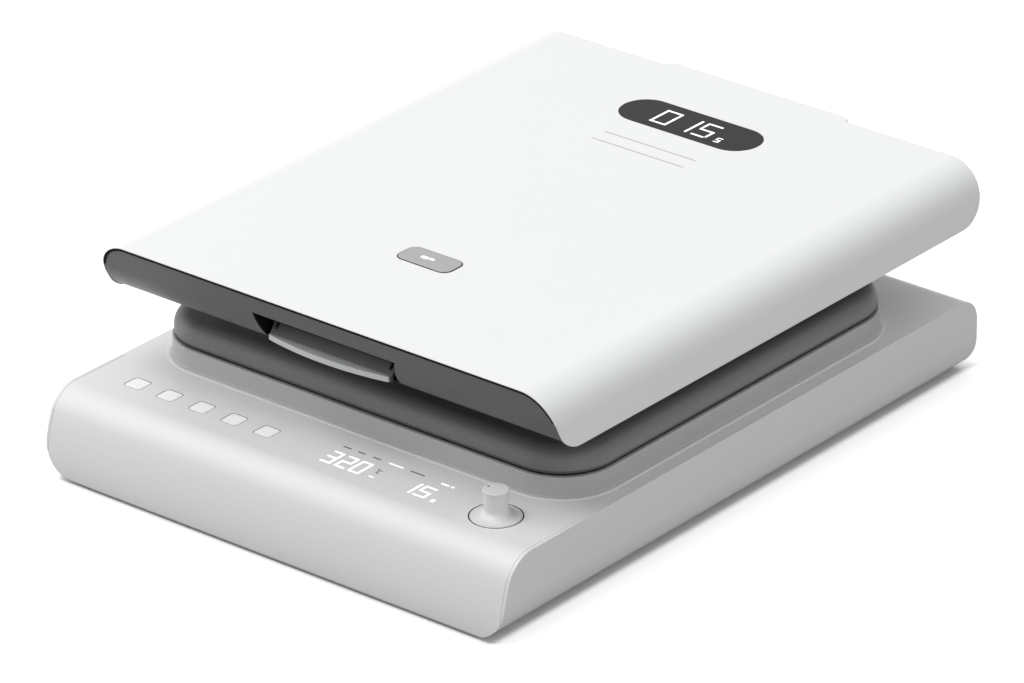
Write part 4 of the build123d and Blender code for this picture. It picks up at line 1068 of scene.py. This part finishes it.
@dataclass
class Lid:
    """White shell of the lid with its display, button and grip."""

    half_width: float = 216.0
    top: float = 172.5
    bottom: float = 124.6
    rear: float = 284.0
    hood: float = 292.5
    hood_half: float = 89.0
    hood_corner: float = 9.0
    wall: float = 3.0
    lip: float = 0.6
    lip_depth: float = 6.0
    round_radius: float = 27.5
    rear_radius: float = 20.0
    rim_round: float = 2.4
    lens: tuple = (129.5, 44.0)
    lens_y: float = 204.6
    button: tuple = (49.5, 23.5)
    button_radius: float = 7.3
    button_gap: float = 0.8
    button_y: float = -106.4
    groove: tuple = (88.5, 1.4)
    groove_rows: Sequence[float] = (154.5, 139.2)
    counter: tuple = (("0", (-29.6, 192.6), (13.6, 22.6), 2.1), ("1", (-9.6, 192.4), (13.6, 22.6), 2.1),
                      ("5", (10.4, 192.4), (12.2, 22.6), 2.1), ("5", (32.0, 191.6), (3.6, 7.0), 1.3))
    grip_reach: float = 57.0
    grip_back: float = -220.1
    grip_rise: float = 6.0
    grip_z: tuple = (134.3, 138.6)
    screw_x: float = 180.0
    screw_rows: tuple = (-150, 40, 225)

    def outline(self, rear: float, inset: float, shift: float = 0.0) -> list:
        """Side view with the front corner points, before rounding."""
        top, low = self.top - inset, self.bottom + inset
        front = inset + shift
        return [(rear - inset, low), (rear - inset, top), (-233.5 + front, top), (-227.3 + front, 150.0),
                (-212.9 + front - inset * 0.45, low)]

    def hull(self, half: float, rear: float, inset: float, shift: float = 0.0) -> Form:
        """Prism with the front and lower rear rounded."""
        outline = self.outline(rear, inset, shift)
        corner, brow, chin = outline[0], outline[3], outline[4]
        form = Form.prism(outline, Axis.X, -half, half)
        form.round_edges(self.rear_radius - inset, 14, along_x(corner))
        form.round_edges(14.2, 14, along_x(chin))
        form.round_edges(12.0, 6, along_x(brow))
        return form

    def round_top(self, form: Form, inset: float) -> Form:
        """Round the two long top edges."""
        centre = (self.half_width - self.round_radius, self.top - self.round_radius)
        return form.round_sides(Axis.Y, centre, self.round_radius - inset, 90, 20)

    def body(self, inset: float, shift: float = 0.0) -> Form:
        """Main form with its long top edges rounded."""
        return self.round_top(self.hull(self.half_width - inset, self.rear, inset, shift), inset)

    def hood_form(self, inset: float) -> Form:
        """Shallow hood over the hinge, without its front half."""
        form = self.hull(self.hood_half - inset, self.hood, inset)
        form.carve((0, 200, 0), (0, -1, 0))
        centre = (self.hood_half - self.hood_corner, self.hood - self.hood_corner)
        return form.round_sides(Axis.Z, centre, self.hood_corner - inset, 90, 8)

    def mouth(self, inset: float) -> Form:
        """Long section of the lid, drawn in by the inset."""
        half = self.half_width - inset
        form = Form.block((-half, half), (-400, 0), (100, self.top - inset))
        return self.round_top(form, inset)

    def shell(self) -> None:
        """White shell with the lens, button and groove cut-outs."""
        back, roof = self.rear - 0.1, self.top - 0.1
        main = self.body(0).round_sharp(self.rim_round, 5, lambda p: p.y > back)
        hood = self.hood_form(0)
        hood.round_sharp(self.rim_round, 5, lambda p: p.z > roof and p.y > self.rear + 0.2, 30)
        main.combine(Blend.UNION, hood)
        inner = self.body(self.wall).combine(Blend.UNION, self.hood_form(self.wall))
        front = Form.block((-300, 300), (-300, -150), (0, 300)).combine(Blend.COMMON, self.mouth(self.wall))
        lip = Form.block((-300, 300), (-300, -150), (self.bottom, 300))
        lip.combine(Blend.COMMON, self.mouth(self.lip))
        lip.cut(self.hull(300, self.rear, 0, self.lip_depth))
        half = self.half_width - self.wall
        under = Form.block((-half, half), (-300, self.rear - self.rear_radius), (100, 136))
        cuts = [inner, front, lip, under]
        radius = self.lens[1] / 2 - 0.01
        cuts.append(Form.stack(self.lens, radius, ((0, 165), (0, 180)), (0, self.lens_y), steps=28))
        hole = tuple(s + 2 * self.button_gap for s in self.button)
        radius = self.button_radius + self.button_gap
        cuts.append(Form.stack(hole, radius, ((0, 160), (0, 180)), (0, self.button_y), steps=10))
        for y in self.groove_rows:
            levels = ((0, self.top - 0.6), (0, 180))
            cuts.append(Form.stack(self.groove, self.groove[1] * 0.49, levels, (0, y), steps=5))
        main.cut(*cuts).piece("lid_cover", "lid", WHITE, ("lid_shell",))
        # Painted shade: grey strips at the bottom of the grooves, where the grooves are only in shade.
        size = (self.groove[0] - 0.1, self.groove[1] - 0.1)
        groove_shade_strip = Form.stack(size, size[1] * 0.49, ((0, self.top - 0.7), (0, self.top - 0.06)), steps=5)
        groove_shade_strip.copies([(0, y, 0) for y in self.groove_rows]).piece("groove_painted_shade", "lid", SHADED_GREY)

    def display(self) -> None:
        """Smoked lens with the counter's digits."""
        size = tuple(s - 0.3 for s in self.lens)
        levels = [(0, self.top - 2.9), (0, self.top - 0.15), (-0.15, self.top)]
        lens = Form.stack(size, size[1] / 2 - 0.01, levels, (0, self.lens_y), steps=28)
        lens.piece("display_window", "lid", LENS, ("display_lens",))
        low, high = self.top - 0.5, self.top + 0.06
        signs = [digit(*sign, low, high) for sign in self.counter]
        Form.joined(signs).piece("lid_reading", "lid", LIT)

    def start(self) -> None:
        """Silver button with its hidden flange and a plain mark."""
        flange = [(2.5, 166.0), (2.5, self.top - self.wall - 0.1), (0, self.top - self.wall - 0.1)]
        top = self.top + 0.74
        crown = [(0, top - 0.7), (-0.1, top - 0.35), (-0.35, top - 0.1), (-0.7, top)]
        cap = Form.stack(self.button, self.button_radius, flange + crown, (0, self.button_y), steps=10)
        cap.piece("press_button", "start_button", BUTTON, ("start_button",))
        low, high = top - 0.3, top + 0.05
        mark = bar((-6.6, self.button_y - 0.2), (-3.2, self.button_y + 0.2), 3.4, low, high)
        mark.join(bar((0.2, self.button_y + 0.6), (2.4, self.button_y + 0.6), 2.8, low, high))
        mark.piece("button_mark", "start_button", LIT)
        # Painted shadow: a dark collar in the gap round the button, where the gap is only in shade.
        gap, rise, place = self.button_gap, self.top + 0.35, (0, self.button_y)
        shade_lining = [(0.12, 168.0), (gap, 168.0), (gap, self.top - 0.05), (0.5, rise), (0.12, rise)]
        dark = Form.stack(self.button, self.button_radius, shade_lining, place, closed=True, steps=10)
        dark.piece("button_gap", "lid", PAINTED_SHADOW)

    def grip(self) -> None:
        """Bowed silver grip of the pull handle."""
        reach, back = self.grip_reach, self.grip_back
        low, high = self.grip_z
        radius = bow(reach, self.grip_rise)
        middle = back - 2 - self.grip_rise + radius
        form = Form.tube(radius - 40, radius, low, high, (0, middle, 0), 1440)
        form.carve((0, back, 0), (0, 1, 0))
        form.carve((reach, 0, 0), (1, 0, 0)).carve((-reach, 0, 0), (-1, 0, 0))

        def upright(point: Vector) -> bool:
            """Whether a point is on an upright edge at either end."""
            return abs(point.x) > reach - 0.5 and point.y < back - 1 and low + 0.5 < point.z < high - 0.5

        form.round_sharp(3.0, 6, upright, 60)
        form.round_sharp(1.3, 5, lambda p: p.y < back - 0.5 and (p.z > high - 0.1 or p.z < low + 0.1), 60)
        form.piece("pull_grip", "pull_handle", GRIP, ("handle_bar",))

    def seam_shadow(self) -> None:
        """Painted shadow: a dark line where the front face meets the shell."""
        line = self.mouth(self.lip - 0.1).cut(self.mouth(self.lip + 2.0))
        skin = self.hull(300, self.rear, 0, 0.0).cut(self.hull(310, self.rear, 0, 1.4))
        skin.carve((0, 0, self.top - 30), (0, 0, -1))
        line.combine(Blend.COMMON, skin).piece("front_seam_shadow", "lid", PAINTED_SHADOW)

    def shade_lining(self) -> None:
        """Painted shade: a black lining in the handle recess, where the recess is only in shade."""
        outer = [(-62.9, 134.1), (62.9, 134.1), (67.9, 155.3), (-67.9, 155.3)]
        inner = [(-62.5, 134.4), (62.5, 134.4), (67.4, 154.9), (-67.4, 154.9)]
        form = Form.prism(outer, Axis.Y, -240.0, -200.1).cut(Form.prism(inner, Axis.Y, -250.0, -200.4))
        form.combine(Blend.COMMON, self.hull(300, self.rear, 0, 0.6)).piece("recess_painted_shade", "lid", PAINTED_SHADOW)

    def build(self) -> None:
        """Build the shell and what shows on it."""
        self.shell()
        self.display()
        self.start()
        self.grip()
        self.seam_shadow()
        self.shade_lining()
        spots = [(x, y, 127.6) for x in (-self.screw_x, self.screw_x) for y in self.screw_rows]
        cross_screw(3.2, 1.6, 1.5, 14.0).copies(spots).piece("lid_fixings", "lid", ZINC, ("lid_screws",))


# Heating head

@dataclass
class HeatingHead:
    """Slab that hangs under the lid."""

    size: tuple = (405.0, 396.5)
    radius: float = 44.5
    centre: tuple = (0.0, 5.7)
    bottom: float = 87.4
    skirt_bottom: float = 84.1
    skirt_inset: float = 0.7
    top: float = 103.7
    rounding: float = 13.0
    platen: float = 381.0

    def build(self) -> None:
        """Build the slab and the platen."""
        inner = (384.0 - self.size[0]) / 2
        skirt = -self.skirt_inset
        low = self.skirt_bottom
        # Painted shadow: a black band in the gap between the head and the ring.
        gap_shadow = [(inner, low + 1.2), (inner, low), (skirt - 0.2, low), (skirt, low + 0.2), (skirt, low + 1.2)]
        black = Form.stack(self.size, self.radius, gap_shadow, self.centre, closed=True, steps=28)
        black.piece("head_gap_shadow", "head", PAINTED_SHADOW)
        low += 1.2
        # The recessed band takes the darker copy of the head's coat: painted shade.
        band = [(inner, self.bottom), (inner, low), (skirt, low), (skirt, self.bottom)]
        dark = Form.stack(self.size, self.radius, band, self.centre, closed=True, steps=28)
        dark.piece("head_skirt", "head", SHADE_SKIRT)
        levels = [(inner, 101.2), (inner, self.bottom), (-0.15, self.bottom), (0, self.bottom + 0.15)]
        for i in range(17):
            turn = math.radians(90 * i / 16)
            grow = -self.rounding * (1 - math.cos(turn))
            levels.append((grow, self.top - self.rounding * (1 - math.sin(turn))))
        slab = Form.stack(self.size, self.radius, levels, self.centre, steps=28)
        holes = [(0, 5.7, 10)] + [(i * 115, 5.7 + j * 115, 7) for i in (-1, 1) for j in (-1, 1)]
        cuts = [Form.tube(0, r, 95, 120, (x, y, 0), 32) for x, y, r in holes]
        slab.cut(*cuts).piece("head_slab", "head", HEAD, ("head_housing",))
        plate = [(-0.8, 84.3), (0, 85.1), (0, 90.3)]
        size = (self.platen, self.platen)
        Form.stack(size, 32, plate, self.centre).piece("platen", "head", PLATEN, ("heating_plate",))


# Studio

@dataclass
class Studio:
    """Floor, light and camera."""

    eye: tuple = (3.0417, -3.7092, 2.3853)
    azimuth: float = 39.4458
    elevation: float = 25.8045
    roll: float = -0.3627
    focal_px: float = 7092.3
    width_px: float = 1024.0
    sky: float = 0.58
    sun_power: float = 1.37
    sun_angle: float = 35.0
    sun_from: tuple = (-0.16, -0.14, 0.45)
    lamp_size: float = 0.7
    lamp_to: tuple = (0.0, -0.1, 0.1)
    left_lamp: tuple = (-1.0, -0.5, 0.35)
    left_power: float = 2.2
    right_lamp: tuple = (1.0, -0.3, 0.35)
    right_power: float = 0.6
    floor_tone: float = 0.25
    floor_lift: float = 0.5
    foot_half: tuple = (0.207, 0.2855)
    foot_middle: float = -0.007
    foot_fade: tuple = (0.006, 0.018)

    def camera(self) -> None:
        """Camera at the photograph's viewing angle."""
        a, e, r = (math.radians(v) for v in (self.azimuth, self.elevation, self.roll))
        back = Vector((math.sin(a) * math.cos(e), -math.cos(a) * math.cos(e), math.sin(e)))
        right = Vector((math.cos(a), math.sin(a), 0))
        up = back.cross(right)
        x_axis = math.cos(r) * right + math.sin(r) * up
        y_axis = -math.sin(r) * right + math.cos(r) * up
        data = bpy.data.cameras.new("camera")
        data.sensor_width = 36.0
        data.lens = self.focal_px / self.width_px * 36.0
        data.clip_end = 100.0
        made = bpy.data.objects.new("camera", data)
        made.matrix_world = Matrix((
            (x_axis.x, y_axis.x, back.x, self.eye[0]),
            (x_axis.y, y_axis.y, back.y, self.eye[1]),
            (x_axis.z, y_axis.z, back.z, self.eye[2]),
            (0, 0, 0, 1)))
        bpy.context.scene.collection.objects.link(made)
        bpy.context.scene.camera = made

    def sun(self) -> None:
        """Broad soft light from the upper front left."""
        data = bpy.data.lights.new("key", "SUN")
        data.energy = self.sun_power
        data.angle = math.radians(self.sun_angle)
        made = bpy.data.objects.new("key", data)
        made.rotation_mode = "QUATERNION"
        made.rotation_quaternion = Vector(self.sun_from).to_track_quat("Z", "Y")
        bpy.context.scene.collection.objects.link(made)

    def lamp(self, name: str, place: tuple, power: float) -> None:
        """Soft low lamp beside the press.

        Args:
            name: Name of the lamp.
            place: Where it stands.
            power: Power in watts.
        """
        data = bpy.data.lights.new(name, "AREA")
        data.shape = "DISK"
        data.size = self.lamp_size
        data.energy = power
        made = bpy.data.objects.new(name, data)
        made.location = place
        made.rotation_mode = "QUATERNION"
        made.rotation_quaternion = (Vector(place) - Vector(self.lamp_to)).to_track_quat("Z", "Y")
        made.visible_camera = False
        bpy.context.scene.collection.objects.link(made)

    def contact_shadow_mask(self, tree: Tree) -> Socket:
        """Mask that is 0 under the press and 1 a little way outside it; it marks where the floor's shadow is
        kept as a painted contact shadow.
        """
        place = add(tree, "ShaderNodeTexCoord")
        split = add(tree, "ShaderNodeSeparateXYZ")
        tree.links.new(place.outputs["Object"], split.inputs[0])
        across = maths(tree, "SUBTRACT", maths(tree, "ABSOLUTE", split.outputs[0], 0.0), self.foot_half[0])
        across = maths(tree, "DIVIDE", across, self.foot_fade[0])
        middle = maths(tree, "SUBTRACT", split.outputs[1], self.foot_middle)
        along = maths(tree, "SUBTRACT", maths(tree, "ABSOLUTE", middle, 0.0), self.foot_half[1])
        along = maths(tree, "DIVIDE", along, self.foot_fade[1])
        return maths(tree, "MAXIMUM", across, along, True)

    @staticmethod
    def seen(tree: Tree) -> Socket:
        """Mask of the rays that show the background: camera, glossy and transmission."""
        path = add(tree, "ShaderNodeLightPath")
        direct = maths(tree, "MAXIMUM", path.outputs["Is Camera Ray"], path.outputs["Is Glossy Ray"])
        return maths(tree, "MAXIMUM", direct, path.outputs["Is Transmission Ray"])

    def floor(self) -> None:
        """Pale floor that keeps the shadow and shows white to the camera."""
        bm = bmesh.new()
        bmesh.ops.create_grid(bm, x_segments=1, y_segments=1, size=30.0)
        mesh = bpy.data.meshes.new("floor")
        bm.to_mesh(mesh)
        bm.free()
        made = bpy.data.objects.new("floor", mesh)
        bpy.context.scene.collection.objects.link(made)
        paint = bpy.data.materials.new("pale_floor")
        paint.use_nodes = True
        shader = paint.node_tree.nodes["Principled BSDF"]
        shader.inputs["Roughness"].default_value = 1.0
        shader.inputs["Specular IOR Level"].default_value = 0.0
        tree = paint.node_tree
        seen = self.seen(tree)
        shade = Finish.mix(tree, seen, (self.floor_tone,) * 3 + (1.0,), (1.0, 1.0, 1.0, 1.0))
        tree.links.new(shade, shader.inputs["Base Color"])
        shader.inputs["Emission Color"].default_value = (1, 1, 1, 1)
        # Painted light: outside the mask the lift whitens the floor's shadow, so the shadow shows only in a
        # band round the press.
        lift = maths(tree, "MULTIPLY", maths(tree, "MULTIPLY", seen, self.contact_shadow_mask(tree)), self.floor_lift)
        tree.links.new(lift, shader.inputs["Emission Strength"])
        made.data.materials.append(paint)

    def world(self) -> None:
        """Even pale surroundings, white where the camera sees them."""
        world = bpy.data.worlds.new("surroundings")
        world.use_nodes = True
        tree = world.node_tree
        backing = tree.nodes["Background"]
        backing.inputs["Color"].default_value = (1, 1, 1, 1)
        strength = maths(tree, "ADD", maths(tree, "MULTIPLY", self.seen(tree), 1 - self.sky), self.sky)
        tree.links.new(strength, backing.inputs["Strength"])
        bpy.context.scene.world = world

    def build(self) -> None:
        """Set up floor, lamps and camera."""
        bpy.context.scene.view_settings.view_transform = "Standard"
        self.floor()
        self.world()
        self.sun()
        self.lamp("left", self.left_lamp, self.left_power)
        self.lamp("right", self.right_lamp, self.right_power)
        self.camera()


def dress_nodes() -> None:
    """Give every CAD node the finish of its slot."""
    slots = {s["node"]: s["material_slot"] for s in frame["record"]["subparts"]}
    for name, node in frame["nodes"].items():
        finish = BY_SLOT[slots[name]]
        node.data.materials.clear()
        node.data.materials.append(finish.material())


def main() -> None:
    """Build the press piece by piece."""
    logging.basicConfig(level=logging.INFO, format="%(message)s")
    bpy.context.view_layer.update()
    for build in (build_grain, build_cloud, build_wear, build_brush):
        build()
    dress_nodes()
    for part in (Base(), PressBed(), ControlPanel(), Lid(), HeatingHead()):
        log.info("building %s", type(part).__name__)
        part.build()
    Studio().build()
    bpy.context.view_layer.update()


if __name__ == "__main__":
    main()
